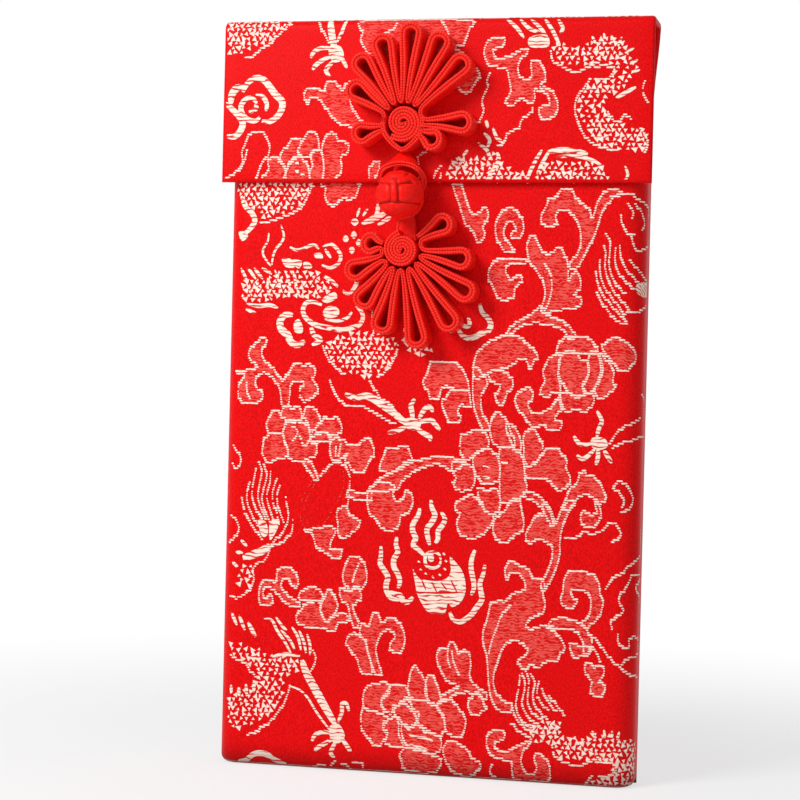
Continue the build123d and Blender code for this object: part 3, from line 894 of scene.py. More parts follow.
def makeBall():
    centre = Vector((frog["x"], -ball["reach"], ball["height"]))
    points, crests = [], []
    columns, rows = ball["columns"], ball["rows"]
    for row in range(rows + 1):
        tilt = math.pi * row / rows - math.pi / 2
        for column in range(columns):
            turn = 2 * math.pi * column / columns
            ray = Vector((math.cos(tilt) * math.sin(turn), -math.cos(tilt) * math.cos(turn), math.sin(tilt)))
            across, up = ray.dot(viewRight), ray.dot(viewUp)
            swell = max(strandSwell(strand, across, up) for strand in ball["strands"])
            if ray.dot(viewBack) < 0:
                furrow = abs(math.sin(ball["backRidges"] * across)) ** 6
                swell = max(swell, 1.0 - ball["backFurrow"] * furrow)
            points.append(centre + ray * (ball["radius"] + ball["swell"] * swell))
            crests.append(swell)
    made = meshObject("knotBall", points, ringFaces(rows + 1, columns), knotPaintedShadeMaterial("knotSatinPaintedShade", satinLook))
    # the swell, kept on each point as the mask of the painted shade in the furrows
    made.data.attributes.new("crest", "FLOAT", "POINT").data.foreach_set("value", crests)
    shell = bmesh.new()
    shell.from_mesh(made.data)
    bmesh.ops.remove_doubles(shell, verts=shell.verts, dist=1e-6)
    bmesh.ops.smooth_vert(shell, verts=shell.verts, factor=0.5, use_axis_x=True, use_axis_y=True, use_axis_z=True)
    shell.to_mesh(made.data)
    shell.free()
    return turnOut(made)


finishFrog(makeBall(), "knot", "button_knot")

# stem: a soft sleeve from the lower coil up to the ball, with a corded edge on each side of its front
stem = {
    "route": [(-6.5, 125.4), (-6.5, 128.2), (-6.6, 130.9), (-7.5, 133.3), (-10.4, 135.2)],
    "halfWidths": [3.0, 2.5, 2.0, 1.7, 1.7], "halfDepths": [0.9, 0.75, 0.7, 1.0, 1.5], "squareness": 0.7,
    "cord": 0.3, "cordShare": 0.8, "sides": 28, "steps": 24, "nudge": 0.01,
}


def makeStem():
    points, spots = [], []
    route = [Vector(place) for place in stem["route"]]
    steps, sides, square, nudge = stem["steps"], stem["sides"], stem["squareness"], stem["nudge"]

    # the last place passed, and the share of the way to the next
    def located(share):
        passed = min(int(share * (len(route) - 1)), len(route) - 2)
        return passed, share * (len(route) - 1) - passed

    def sampled(values, share):
        passed, part = located(share)
        return values[passed] + (values[passed + 1] - values[passed]) * smoothStep(part)

    def spot(share):
        passed, part = located(share)
        before, after = route[max(passed - 1, 0)], route[min(passed + 2, len(route) - 1)]
        return between(before, route[passed], route[passed + 1], after, part)

    for step in range(steps + 1):
        share = step / steps
        here = spot(share)
        ahead = (spot(min(1.0, share + nudge)) - spot(max(0.0, share - nudge))).normalized()
        width, depth = sampled(stem["halfWidths"], share), sampled(stem["halfDepths"], share)
        spots.append((here, ahead, width, depth))
        for side in range(sides):
            turn = 2 * math.pi * side / sides
            across, sink = (math.copysign(abs(part) ** square, part) for part in (math.cos(turn), math.sin(turn)))
            points.append(Vector((
                frog["x"] + width * across, here.x + depth * sink * ahead.y, here.y - depth * sink * ahead.x,
            )))
    faces = ringFaces(steps + 1, sides)
    faces += [tuple(range(sides)), tuple(reversed(range(steps * sides, (steps + 1) * sides)))]
    wallFaces = len(faces)
    along = [0.0] * len(points)
    for edge in (-stem["cordShare"], stem["cordShare"]):
        outward = [Vector((0.0, -ahead.y, ahead.x)) for here, ahead, width, depth in spots]
        places = [
            Vector((frog["x"] + edge * width, here.x, here.y)) + out * stem["cordShare"] * depth
            for (here, ahead, width, depth), out in zip(spots, outward)
        ]
        addCord(points, faces, along, places, outward, stem["cord"], False)
    return cordedMesh("knotStem", points, faces, wallFaces, along)


finishFrog(makeStem(), "knot", "button_stem")
print("frog built")

# woven figures, drawn over the picture: each path is a row of picture points, each stroke has its half width
flapFigures = {
    "dragonBack": {
        "scales": ["228,19 292,19 281,31 272,39 262,45 250,49 240,54 231,54 227,46"],
        "dashes": ["291,20 283,30 276,36 270,43 262,47 257,52 252,56 246,56"],
    },
    "claw": {
        "strokes": [
            (3.6, "330,18 332,35 335,50"), (1.8, "347,18 342,32 337,42"), (2.2, "336,49 322,48 314,52 311,58"),
            (2.3, "334,55 323,60 315,66 313,70"), (2.3, "335,60 328,67 326,71 330,77"), (2.0, "340,54 344,62 347,68"),
        ],
        "patches": ["330,46 340,46 344,54 341,61 333,62 329,54"],
        "dashes": ["319,20 324,32 329,42"],
    },
    "cloud": {
        "strokes": [
            (3.5, "243,92 248,83 256,78 264,80 270,87 276,95 282,101 282,109 277,117 269,122 262,121"),
            (3.8, "231,104 232,95 237,88 244,87"), (2.5, "249,112 256,109 256,103"),
            (2.8, "257,103 252,98 245,100 241,107 243,115 249,120 256,121 260,117"),
            (2.4, "256,94 263,97 267,104 266,111"), (3.4, "226,103 233,110 240,117 243,124 240,132 234,137 227,136"),
        ],
    },
    "fishLeaf": {
        "pinks": [
            "306,100 304,92 309,87 318,88 324,90 326,83 330,80 337,82 342,89 347,82 355,80 352,90 350,98 353,107 "
            "358,116 363,122 356,126 346,124 338,122 332,115 327,108 322,101 318,97 311,97 308,104",
        ],
    },
    "peony": {
        "pinks": [
            "263,181 264,174 269,169 268,160 273,155 278,156 281,162 285,167 284,181",
            "281,160 281,152 286,147 290,141 294,137 300,138 301,143 298,149 300,155 291,160 287,167",
            "298,149 302,142 306,134 311,130 317,133 319,141 319,149 313,150 310,155 303,156 299,153",
            "322,181 324,168 323,156 322,148 324,139 328,133 334,132 337,136 339,141 345,140 349,145 347,152 341,156 "
            "342,165 340,173 334,179 330,181",
            "311,181 310,170 313,165 311,158 312,152 320,149 323,156 324,166 322,180",
            "285,181 287,170 291,160 297,156 303,158 308,165 309,172 309,181",
        ],
        "strokes": [(2.0, "296,161 298,165"), (2.0, "296,169 298,173"), (2.0, "301,174 305,177")],
    },
    "gourd": {
        "dashes": [
            "225,178 235,172 243,162 242,152 246,142 250,133 256,130 263,132 268,138 270,146 268,155 262,162 258,172 "
            "255,180",
            "247,150 245,160 240,170",
        ],
    },
    "topPeony": {
        "pinks": [
            "367,18 363,32 361,40 365,47 371,55 385,62 420,62 450,80 466,92 474,84 480,74 476,68 470,64 463,53 "
            "452,45 463,44 468,33 470,27 467,18",
        ],
        "dashes": ["397,22 393,29 386,31 383,36", "441,20 447,28 449,36", "405,33 409,46", "436,42 433,58"],
    },
    "scrollLeaf": {
        "pinks": [
            "484,51 487,42 493,37 501,36 505,40 503,45 497,46 493,51 496,57 504,57 514,53 527,47 527,52 520,59 "
            "518,69 521,76 527,79 532,74 531,63 536,59 541,62 545,70 545,79 540,86 547,87 554,93 558,103 556,113 "
            "548,118 541,117 539,109 543,105 549,104 549,97 544,91 535,89 535,98 530,103 522,97 516,102 509,104 "
            "505,100 511,91 509,78 507,69 498,66 490,64 486,58",
        ],
        "dashes": [
            "533,103 532,110 527,115 521,120 519,128 513,129 508,132 505,140 499,145",
            "490,73 487,80 488,87 484,94 482,102 484,109 481,117 477,122",
        ],
    },
    "edgeFins": {
        "strokes": [
            (1.8, "486,120 488,128"), (1.8, "478,143 487,150 490,158"), (2.0, "497,152 499,160 493,170 486,182"),
            (1.8, "484,133 490,140 487,148"), (1.8, "493,128 497,138 503,142"), (1.6, "468,150 463,156"),
            (1.6, "458,157 464,163"), (1.6, "451,160 460,166"),
        ],
        "scales": ["451,162 466,154 480,156 494,152 500,162 515,170 520,166 526,181 452,182"],
    },
    "edgeDragon": {
        "strokes": [
            (1.9, "542,150 536,160 530,172 527,181"), (1.8, "550,150 543,162 537,174"),
            (1.8, "556,157 575,156 592,160 602,166"), (2.8, "548,152 560,150 575,151 588,154"),
            (1.4, "625,166 628,175 624,182"),
        ],
        "scales": ["540,170 552,160 575,159 596,162 606,172 612,179 600,182 536,182"],
    },
    "tailFan": {
        "strokes": [
            (1.9, "507,19 517,28 524,38"), (1.9, "520,19 530,29 540,32"), (1.9, "531,19 543,31 549,45"),
            (1.9, "545,19 553,31 560,46"), (1.9, "558,19 563,28 560,33"),
        ],
        "patches": ["530,37 547,35 549,46 538,48 529,46"],
    },
    "dragonCoil": {
        "scales": [
            "553,36 562,42 574,46 590,42 603,38 618,39 628,46 635,57 638,68 634,78 624,87 612,95 604,100 606,112 "
            "613,121 628,126 645,128 645,152 628,150 610,148 596,143 586,132 580,118 579,102 585,90 594,81 606,78 "
            "613,71 612,64 596,62 580,66 566,64 556,58",
        ],
        "dashes": [
            "551,50 553,60 561,65 572,70 581,70 590,65 600,60", "596,65 612,65 614,70 608,77 596,78",
            "590,79 583,88 577,97 575,108 577,118 582,130 588,138 595,144 605,147 616,149",
            "608,110 612,118 620,119 625,114 631,118", "645,80 643,90 648,100", "641,128 648,140 645,152",
        ],
        "strokes": [
            (2.0, "636,87 625,93 616,98"), (1.4, "592,36 596,44"), (1.4, "604,33 605,42"), (1.4, "612,35 612,43"),
            (1.4, "622,37 618,46"), (1.4, "634,48 626,53"), (1.4, "638,60 630,64"), (1.4, "640,70 632,72"),
        ],
    },
    "neckLeaf": {
        "pinks": ["379,160 372,163 369,171 370,180 374,183 376,176 379,169"],
        "dashes": [
            "418,155 419,165 420,172 418,178", "428,149 421,153", "441,165 436,170 434,177",
            "441,171 440,178 434,184",
        ],
    },
}
bodyFigures = {
    "dragonBack": {
        "scales": ["240,184 312,182 306,196 298,206 286,212 274,217 262,217 255,209 246,206"],
        "dashes": ["313,184 308,195 303,204 296,210 288,214 280,217 270,220 262,222"],
        "strokes": [
            (2.8, "241,196 245,206 252,213 255,221 250,229 243,235"),
            (1.2, "269,233 268,241 264,248 263,254 267,261 271,266"),
            (1.3, "281,225 284,235 282,242 276,249 273,257 272,265"),
        ],
        "patches": ["238,232 246,232 248,237 242,241"],
    },
    "dragonHead": {
        "strokes": [
            (1.7, "290,247 296,250 303,249 309,246 315,245 319,249"),
            (1.9, "323,247 331,244 338,250 341,257 338,264 330,268 322,265"), (1.8, "325,249 331,258"),
            (1.7, "241,268 247,280"), (1.7, "248,268 256,279"), (1.7, "254,268 263,279"), (1.7, "262,268 272,274"),
            (1.2, "275,270 280,285 279,297"), (1.2, "285,270 290,285 288,298"), (1.2, "293,270 296,284 300,297"),
            (1.2, "268,278 268,290 272,300"), (1.2, "258,280 256,292"), (1.2, "247,284 252,296"),
            (2.1, "247,303 258,306 270,305 278,308"), (2.0, "246,309 256,313"), (1.9, "325,276 333,282 338,287"),
        ],
        "patches": [
            "314,254 321,253 323,258 317,259", "282,259 291,259 295,267 286,267", "292,260 302,261 300,268 296,267",
            "304,262 310,263 312,268 304,268", "322,299 334,292 337,298 327,303",
        ],
        "scales": ["242,280 262,278 280,272 310,270 325,276 332,290 318,298 296,300 270,300 250,302 243,296"],
    },
    "dragonJaw": {
        "strokes": [
            (2.6, "322,305 314,302 306,303 303,311 307,319 316,325 330,328 342,330 351,328 359,325 363,318 361,311 "
                  "356,306"),
            (1.7, "325,319 337,321 347,318 352,312"),
        ],
        "patches": [
            "323,312 327,307 334,306 339,310 338,316 330,318 325,317",
            "343,290 350,291 356,280 359,283 355,290 350,295 344,294",
        ],
    },
    "cloudCurl": {
        "strokes": [
            (3.8, "293,315 285,315 280,322 282,330 288,335 291,342 298,345 305,341"),
            (2.8, "311,327 314,335 321,340 312,345"),
        ],
        "patches": ["294,323 299,319 303,327 302,333 295,332"],
    },
    "flame": {
        "patches": [
            "351,222 355,218 359,222 355,226", "343,239 346,235 349,239 346,243", "351,235 354,231 357,235 354,239",
            "356,243 359,239 362,243 359,247", "349,250 352,246 355,250 352,254",
        ],
        "strokes": [
            (1.4, "357,217 360,208"), (1.4, "363,216 368,209"), (2.6, "362,224 370,220 377,215 378,204"),
            (2.6, "368,223 379,217 390,209"), (2.2, "378,225 386,220 391,217"),
        ],
        "scales": ["402,328 409,325 413,336 418,344 430,347 440,352 430,354 412,353 404,345"],
    },
    "medallion": {
        "pinks": ["349,489 358,492 367,491 371,489 371,498 362,499 352,497 347,496"],
        "faint": [
            "322,469 331,464 341,463 349,468 349,480 346,492 341,505 335,516 327,526 317,531 308,529 302,520 300,508 "
            "303,496 309,484 315,476 322,469",
            "323,474 331,469 340,468 344,472 344,482 341,493 336,504 330,514 324,522 316,526 309,524 306,517 304,509 "
            "307,498 313,486 318,479 323,474",
        ],
    },
    "smallLeaves": {
        "pinks": [
            "323,181 326,188 325,195 328,202 334,205 339,201 343,197 350,198 356,195 358,189 358,181",
            "453,184 461,184 466,198 470,209 475,214 480,211 484,206 488,209 488,216 485,223 483,227 485,233 483,238 "
            "478,241 474,233 470,226 466,224 463,215 458,200",
            "337,512 341,506 347,505 349,512 354,516 360,520 358,527 352,531 348,535 342,537 338,532 338,524",
            "305,529 312,532 315,541 319,548 327,552 333,557 340,557 342,550 337,547 331,548 331,541 335,534 335,528 "
            "328,525 318,527",
            "585,668 586,662 590,662 594,666 600,664 604,668 603,676 598,681 604,683 605,690 601,695 596,696 591,692 "
            "591,684 592,680 588,676",
        ],
        "dashes": [
            "231,515 236,518 239,525 237,533 232,539 229,541", "593,636 598,640 603,648 610,657 617,664",
            "590,645 597,652 600,660", "620,665 628,658 637,655", "622,668 630,676 638,678",
            "373,306 372,315 374,325 373,335", "443,327 451,331", "233,445 238,451 241,458 240,464 236,467 232,463",
        ],
    },
    "scroll": {
        "pinks": [
            "507,251 499,242 496,232 496,221 501,212 509,207 517,210 522,218 524,228 521,235 514,237 511,233 516,229 "
            "514,223 509,220 505,225 504,232 508,241 515,250",
            "500,298 494,288 489,278 489,268 495,260 502,257 518,258 530,260 518,263 508,264 506,272 512,279 517,274 "
            "522,276 521,281 515,287 513,297",
        ],
        "strokes": [
            (2.9, "458,328 461,334 467,338 475,337 482,333 488,331 491,325 488,318 482,312 480,304"),
            (2.3, "468,317 470,324 466,327 460,323"),
        ],
    },
    "vineHook": {
        "pinks": [
            "560,190 556,196 549,198 547,205 543,210 541,217 543,223 549,225 557,223 556,215 558,210 563,208 569,210 "
            "575,217 580,227 581,237 580,247 575,256 569,264 576,268 583,257 589,246 594,235 598,224 601,214 606,205 "
            "613,197 622,192 614,187 604,192 598,200 595,209 592,217 590,210 585,204 577,198 571,188",
            "529,258 527,246 529,238 533,234 537,240 543,250 550,253 556,248 560,246 565,253 568,264 569,279 574,271 "
            "579,273 581,282 579,289 574,293 582,299 577,306 566,308 552,310 546,313 541,309 545,297 544,284 540,274 "
            "533,265",
            "506,334 511,326 520,319 532,313 541,305 546,313 553,317 561,319 568,324 576,335 570,338 563,329 551,324 "
            "536,322 523,324 513,331",
        ],
        "dashes": ["545,262 550,272 552,283 551,293 548,303 543,311"],
    },
    "flameTail": {
        "dashes": [
            "606,233 610,239 610,250 609,262 612,275 618,285 625,293",
            "604,244 606,252 605,265 608,278 614,290 622,300 630,310",
            "600,258 600,270 603,282 609,293 617,303 625,314", "596,270 598,283 602,292 609,301 618,312 626,320",
            "597,292 602,302 609,311 617,320 626,323", "616,246 615,258 618,270 625,280 634,288",
            "620,245 621,257 626,268 634,277 641,285", "630,260 637,268 643,277 644,282", "628,310 636,311 643,305",
            "611,196 620,193 628,192 637,197 645,204 648,214", "628,202 633,210 632,217",
            "635,202 641,212 643,222 641,228", "621,214 622,222 627,232 633,234", "631,236 635,248 643,247 648,237",
        ],
        "patches": ["636,284 644,282 647,292 642,297 636,292"],
    },
    "leftVine": {
        "pinks": [
            "258,340 263,336 267,339 262,350 264,359 272,366 280,376 283,380 290,369 297,362 304,365 309,363 315,367 "
            "315,373 312,378 317,384 318,391 313,396 307,400 302,399 300,393 301,386 304,383 298,380 291,383 290,391 "
            "289,401 286,406 282,404 281,395 279,386 274,378 266,372 259,373 256,379 256,386 262,391 262,398 256,402 "
            "248,402 241,400 238,391 240,381 245,374 237,372 237,369 248,369 258,365 251,360 249,353 252,346",
        ],
        "dashes": ["247,381 247,390 250,398"],
    },
    "leftPeony": {
        "pinks": [
            "281,414 283,408 288,404 292,408 297,405 301,409 302,417 298,420 290,420 284,416",
            "304,412 306,406 311,405 316,409 320,416 321,421 317,424 313,430 309,426 307,420 303,416",
            "281,414 277,409 273,410 270,416 267,421 267,427 270,432 277,433 283,430 285,423 286,419",
            "263,446 264,439 268,434 275,432 283,434 285,441 288,447 288,455 282,457 275,459 268,461 264,456 262,452",
            "321,421 325,416 330,419 336,416 340,420 342,427 339,433 332,434 326,432 317,432 312,436 313,430",
            "311,438 318,433 326,432 331,437 328,440 320,440",
            "283,430 286,424 291,420 302,421 308,425 310,433 311,441 316,442 317,449 315,456 309,457 303,460 293,459 "
            "288,455 288,447 285,440",
            "303,461 310,460 318,475 316,479 307,467",
            "330,446 332,439 338,437 345,440 350,444 358,443 364,439 369,436 372,441 374,447 374,453 370,460 366,467 "
            "361,472 354,471 350,464 345,460 348,452 343,456 337,460 332,458 330,452",
        ],
        "dashes": ["293,425 298,432 293,440", "300,436 305,445 309,441", "336,445 336,458", "341,443 338,458"],
    },
    "bareMedallion": {
        "dashes": ["321,475 327,467 335,461 345,464 350,475", "350,480 349,495 347,508"],
    },
    "leftTail": {
        "dashes": [
            "242,497 244,508 248,518 254,527 262,538", "250,480 247,492 248,503 253,515 258,525",
            "256,468 254,480 252,492 255,505 262,518", "259,461 262,470 260,482 258,495 260,505 266,518",
            "264,463 267,473 265,483 262,497 265,510 270,520", "271,470 270,482 267,495 270,508 274,520",
            "277,478 273,490 273,500 277,512 279,522", "280,485 277,497 280,510 284,520",
            "286,497 288,508 288,520 282,532 272,542", "293,520 292,530 286,538 278,543 270,545",
            "270,548 266,558 258,562 253,567 254,576 252,585 246,592 238,597 230,595",
        ],
        "patches": ["258,520 266,522 268,534 262,536", "270,522 280,520 276,532 270,540"],
        "strokes": [
            (4.2, "270,545 262,551 252,555 243,558"), (1.9, "241,540 247,546"), (1.9, "236,552 243,553"),
            (1.9, "232,562 238,567"),
        ],
        "scales": ["238,570 252,566 252,582 246,590 238,588"],
    },
    "dragonLeg": {
        "scales": ["325,345 345,335 365,332 398,340 395,355 388,368 376,376 362,376 350,372 338,366"],
        "strokes": [
            (3.8, "345,394 356,398 366,396 374,399 384,406 394,413 402,420 410,425"),
            (2.6, "413,421 412,412 411,405 415,399"), (2.6, "419,419 424,410 430,407 433,412"),
            (2.6, "417,423 430,420 435,424 440,430"), (2.6, "415,427 423,433 430,437 430,441"),
            (2.6, "406,427 396,431 388,433"),
        ],
        "patches": ["402,420 414,418 421,423 418,430 408,429"],
        "dashes": [
            "323,345 326,353 331,361 338,368 344,373", "398,345 395,355 390,364 385,371 378,375",
            "330,380 334,391 340,399 347,404 360,405", "370,380 376,390 381,398 390,403 396,411 402,417",
            "362,404 372,410 383,417 395,423",
        ],
    },
    "batLeaf": {
        "pinks": [
            "423,381 427,374 429,367 432,361 438,361 445,362 452,361 458,363 463,369 467,376 469,384 468,389 460,389 "
            "452,387 445,385 441,390 439,397 434,398 430,397 428,390",
            "451,390 447,395 442,401 444,409 447,416 450,421 458,421 461,418 459,413 458,408 462,404 468,406 471,404 "
            "470,396 468,390",
            "474,366 473,390 474,405 478,418 485,430 490,426 484,415 481,402 483,390 488,382 482,372",
            "474,376 474,362 478,351 486,343 497,337 510,334 520,336 528,343 535,350 538,355 534,361 530,367 527,360 "
            "520,358 511,365 500,368 490,371 482,376",
            "488,372 498,368 506,371 512,378 513,386 508,391 505,399 502,404 497,401 495,394 499,389 500,383 492,381",
        ],
    },
    "middleVine": {
        "pinks": [
            "380,467 382,459 385,452 388,446 396,448 402,444 408,446 410,452 412,457 406,461 400,466 392,472 384,470",
            "370,490 376,481 388,473 400,468 412,461 424,458 440,455 453,457 466,461 452,470 446,466 436,463 424,466 "
            "412,472 402,480 397,488",
            "368,492 368,506 371,514 377,519 381,527 393,529 399,523 401,515 409,510 413,502 412,494 406,489 403,497 "
            "398,501 393,494 395,486 385,480 374,484",
        ],
    },
    "rightPeony": {
        "pinks": [
            "462,434 468,432 474,429 480,428 486,433 489,440 487,447 478,450 473,455 466,459 462,455 460,446",
            "490,428 492,419 495,412 501,413 507,420 511,430 515,441 513,446 504,446 494,443 491,436",
            "506,424 511,422 517,430 521,440 520,452 514,447 509,436",
            "524,447 523,438 526,431 532,428 537,432 541,439 543,447 541,455 536,461 529,465 524,458",
            "545,449 552,447 558,447 562,453 567,459 566,467 570,474 570,481 566,487 558,489 553,484 550,480 544,478 "
            "534,478 527,477 525,467 531,464 540,457",
            "453,461 463,461 472,466 475,475 474,484 470,488 463,490 456,488 453,482 456,476 452,470",
            "473,456 480,450 489,448 497,455 500,465 499,478 490,483 482,482 475,470",
            "455,507 457,501 463,497 470,494 477,498 482,502 485,509 493,514 493,520 488,528 481,535 473,537 463,535 "
            "458,529 457,520 460,514",
            "478,488 487,489 497,488 500,495 500,505 495,513 486,510 481,503",
            "494,520 500,513 506,508 510,502 515,497 520,500 522,510 524,521 522,530 514,534 509,540 502,541 497,538 "
            "493,530",
            "500,448 514,448 523,456 525,477 527,487 520,498 512,500 503,503 500,495 500,470",
        ],
        "strokes": [(1.5, "483,466 490,469"), (1.5, "482,477 490,478"), (1.5, "501,462 508,463")],
    },
    "edgePeony": {
        "pinks": [
            "560,353 570,350 577,352 580,358 588,361 589,370 586,378 582,385 586,391 582,395 575,394 567,389 562,381 "
            "559,372 559,362",
            "557,352 558,345 561,340 566,336 575,335 585,336 593,341 598,349 595,352 586,352 577,352 565,353",
            "547,361 552,355 560,353 560,362 558,372 560,382 560,390 553,391 547,396 541,393 541,387 545,379 543,370",
            "590,352 597,351 600,360 601,370 598,380 594,388 590,392 585,391 583,384 588,375 588,363",
            "600,352 606,358 611,364 614,371 613,380 616,385 612,390 607,394 602,398 596,394 595,388 600,378 603,367",
            "561,391 569,392 577,396 586,393 593,393 594,400 590,407 583,411 576,408 568,410 562,407 560,400",
            "602,346 608,340 616,336 626,341 633,348 635,357 631,365 627,369 620,370 615,364 609,357",
            "515,400 518,392 523,388 529,387 533,391 532,398 528,404 531,410 538,412 546,410 553,404 558,397 560,391 "
            "561,400 563,407 558,412 555,418 561,421 561,427 555,430 548,428 543,423 537,427 531,425 525,416 519,409",
        ],
    },
    "rightClaw": {
        "patches": ["592,438 604,438 608,446 600,450 592,447"],
        "strokes": [
            (2.2, "597,437 599,428 602,421 597,411"), (2.2, "595,442 583,445 577,441 574,436"),
            (2.2, "595,449 588,456 582,459 577,455"), (2.2, "598,449 598,457 596,465"),
            (2.2, "604,450 608,457 612,463"),
        ],
        "dashes": [
            "610,441 616,433 624,425 632,422 638,418", "613,447 622,442 633,439 640,435 646,436",
            "640,394 643,405 642,412",
        ],
    },
    "archLeaf": {
        "pinks": [
            "562,508 567,495 570,488 577,482 580,473 584,470 588,475 593,475 599,481 604,490 606,497 600,502 592,495 "
            "583,494 575,500 570,508",
            "582,511 581,518 584,525 590,527 597,523 601,515 600,505 595,501 597,510 592,514 588,511",
            "524,490 533,492 541,497 549,506 555,519 552,526 547,516 540,505 531,498 525,496",
            "543,503 551,512 555,524 561,510 568,500 576,500 567,514 562,527 560,540 560,553 556,567 549,582 544,590 "
            "541,582 547,572 552,558 552,546 546,540 538,537 533,540 528,541 526,532 531,523 537,514 544,513",
        ],
        "dashes": [
            "613,486 618,481 625,483 630,490 632,499 629,507 622,511", "614,487 620,492 624,499 622,505",
            "566,536 572,538 579,535 584,530 588,532 595,532 599,530",
            "603,528 609,523 612,521 617,525 621,532 618,537 613,541",
            "640,530 640,545 638,555 632,562 626,567 621,573 616,575 611,580 606,587",
            "640,575 632,574 628,582 624,589 620,594 619,602 623,610 616,616 611,621 612,629",
            "637,580 634,588 637,596 643,604", "618,632 618,640 622,646 628,648 628,640 633,637 636,643 636,652",
        ],
    },
    "lowScroll": {
        "pinks": [
            "260,585 264,580 270,578 276,581 277,573 279,568 284,566 290,567 295,571 298,578 298,584 295,587 291,582 "
            "288,578 283,579 281,585 285,591 290,596 296,600 300,603 299,606 292,605 285,601 279,594 273,588 266,586 "
            "263,591 265,597 271,593 273,599 272,603 266,604 260,602 259,594",
            "299,597 301,591 306,587 311,585 317,588 322,592 324,597 319,600 311,599 305,600",
            "320,607 323,600 326,592 329,588 333,592 336,599 338,606 334,613 330,618 326,620 322,613",
            "296,617 301,609 307,602 320,601 321,612 327,620 336,614 343,612 350,617 345,621 338,622 335,629 325,628 "
            "312,626 301,624",
        ],
    },
    "bud": {
        "pinks": [
            "346,584 343,577 344,568 347,560 351,556 358,556 363,560 366,568 367,577 365,584 361,587 357,585 353,588 "
            "350,590 347,586",
            "340,590 343,586 349,591 356,586 361,591 361,597 357,601 353,605 355,613 359,622 355,627 350,614 348,604 "
            "341,598",
        ],
        "dashes": ["359,562 355,571 353,580"],
    },
    "lowDragon": {
        "strokes": [
            (1.9, "231,612 237,625"), (1.9, "239,615 245,630"), (2.3, "248,622 256,637"),
            (1.5, "264,619 272,620 277,630 285,642 291,653"), (1.5, "276,617 283,627 287,630"),
            (1.5, "281,630 290,640 295,650"), (1.5, "292,627 298,637 301,650"), (1.5, "299,630 304,642 306,653"),
            (1.5, "307,634 310,645 310,655"), (1.9, "272,657 285,654 300,656"), (1.9, "231,685 231,694"),
            (1.9, "239,687 239,696"), (1.9, "246,684 247,696"), (1.9, "254,681 254,692"),
            (4.2, "302,660 306,672 313,685 320,698 328,712 335,724"),
            (1.2, "290,686 300,690 308,698 314,708 320,717 326,725 330,730"),
            (2.2, "338,722 342,712 342,704 346,703 349,711"), (2.2, "333,733 322,732 315,735 312,741"),
            (2.2, "334,738 324,744 317,748 315,751"), (2.2, "336,741 332,749 331,754 335,757"),
            (2.2, "341,737 345,743 349,749 351,752"),
            (2.9, "238,761 246,760 252,755 258,753 266,754 272,758 278,761 286,764"),
        ],
        "patches": ["330,726 339,724 345,736 339,743 331,740"],
        "scales": [
            "228,643 245,645 262,650 285,656 300,660 296,672 284,680 284,692 280,703 272,713 262,719 250,724 240,728 "
            "230,724 227,700 245,690 258,677 250,664 232,652",
        ],
        "dashes": [
            "231,655 240,659 247,664 251,671 258,676",
            "290,684 288,692 284,702 279,710 273,717 268,723 261,726 256,731 248,733",
            "313,650 316,658 313,667 309,672", "313,765 324,764", "331,765 335,761", "343,762 350,767",
            "354,761 362,762 363,767",
        ],
    },
    "pearl": {
        "strokes": [
            (1.7, "441,560 439,566 433,568 427,566 425,560 427,554 433,552 439,554 441,560"),
            (2.0, "418,561 420,563"), (2.0, "420,569 422,571"), (2.0, "425,573 427,575"), (2.0, "432,576 434,578"),
            (2.0, "439,574 441,576"), (2.0, "444,568 446,570"), (2.0, "445,560 447,562"), (2.0, "443,553 445,555"),
            (2.8, "381,546 381,556 380,563 384,570 388,577 386,585 387,592 391,598 400,600"),
            (2.8, "397,537 396,545 398,552 394,559 394,567 398,574 400,582 398,588"),
            (2.8, "387,592 400,595 403,601 408,602 413,597"),
            (2.8, "420,508 418,516 413,524 413,532 416,538 413,545 418,549 425,556"),
            (2.8, "431,500 432,508 435,515 432,522 427,529 428,538 430,545"),
            (2.6, "441,512 445,519 442,526 438,531 438,539 435,543"),
            (2.6, "475,550 472,558 471,568 473,578 474,588 471,595"),
            (2.8, "485,565 483,575 480,583 481,592 482,600 477,607 472,614 466,619 460,622 453,619 450,612"),
        ],
        "patches": [
            "429,553 433,553 434,560 431,562 428,559",
            "413,569 415,582 417,593 421,602 428,612 437,614 445,613 448,603 452,607 459,604 464,597 466,588 464,575 "
            "459,566 450,557 451,570 447,578 438,581 426,580 418,577",
        ],
        "grooves": [
            (0.8, "422,580 426,590"), (0.8, "432,582 437,592"), (0.8, "441,582 447,590"), (0.8, "451,580 457,592"),
            (0.8, "418,592 440,593 463,592"),
        ],
    },
    "middleScroll": {
        "pinks": [
            "362,623 368,625 371,619 373,613 376,611 379,615 382,621 387,618 392,617 398,621 403,628 405,637 404,645 "
            "400,651 394,652 390,647 391,641 395,637 393,631 388,629 382,632 378,639 376,648 378,660 382,672 376,674 "
            "372,664 369,655 367,647 366,640 360,633",
            "346,641 349,634 355,632 361,636 366,641 368,650 371,660 372,671 366,674 360,668 357,658 351,650",
        ],
    },
    "bigLeaf": {
        "pinks": [
            "506,600 513,592 524,589 525,580 519,573 511,571 507,578 505,568 511,560 520,564 529,569 533,577 541,577 "
            "545,584 543,593 545,602 543,611 533,616 526,623 530,628 541,625 550,627 556,632 562,640 565,646 560,654 "
            "558,660 552,661 545,661 538,666 530,664 526,668 521,666 518,659 524,656 528,650 525,645 518,640 509,641 "
            "502,648 498,660 494,672 494,684 498,694 505,700 512,704 510,712 500,709 492,700 489,685 488,670 487,655 "
            "484,645 483,632 488,615 491,602 500,600",
        ],
        "dashes": ["510,605 503,612 499,621 495,632 491,643 489,653"],
    },
    "bellLeaf": {
        "pinks": [
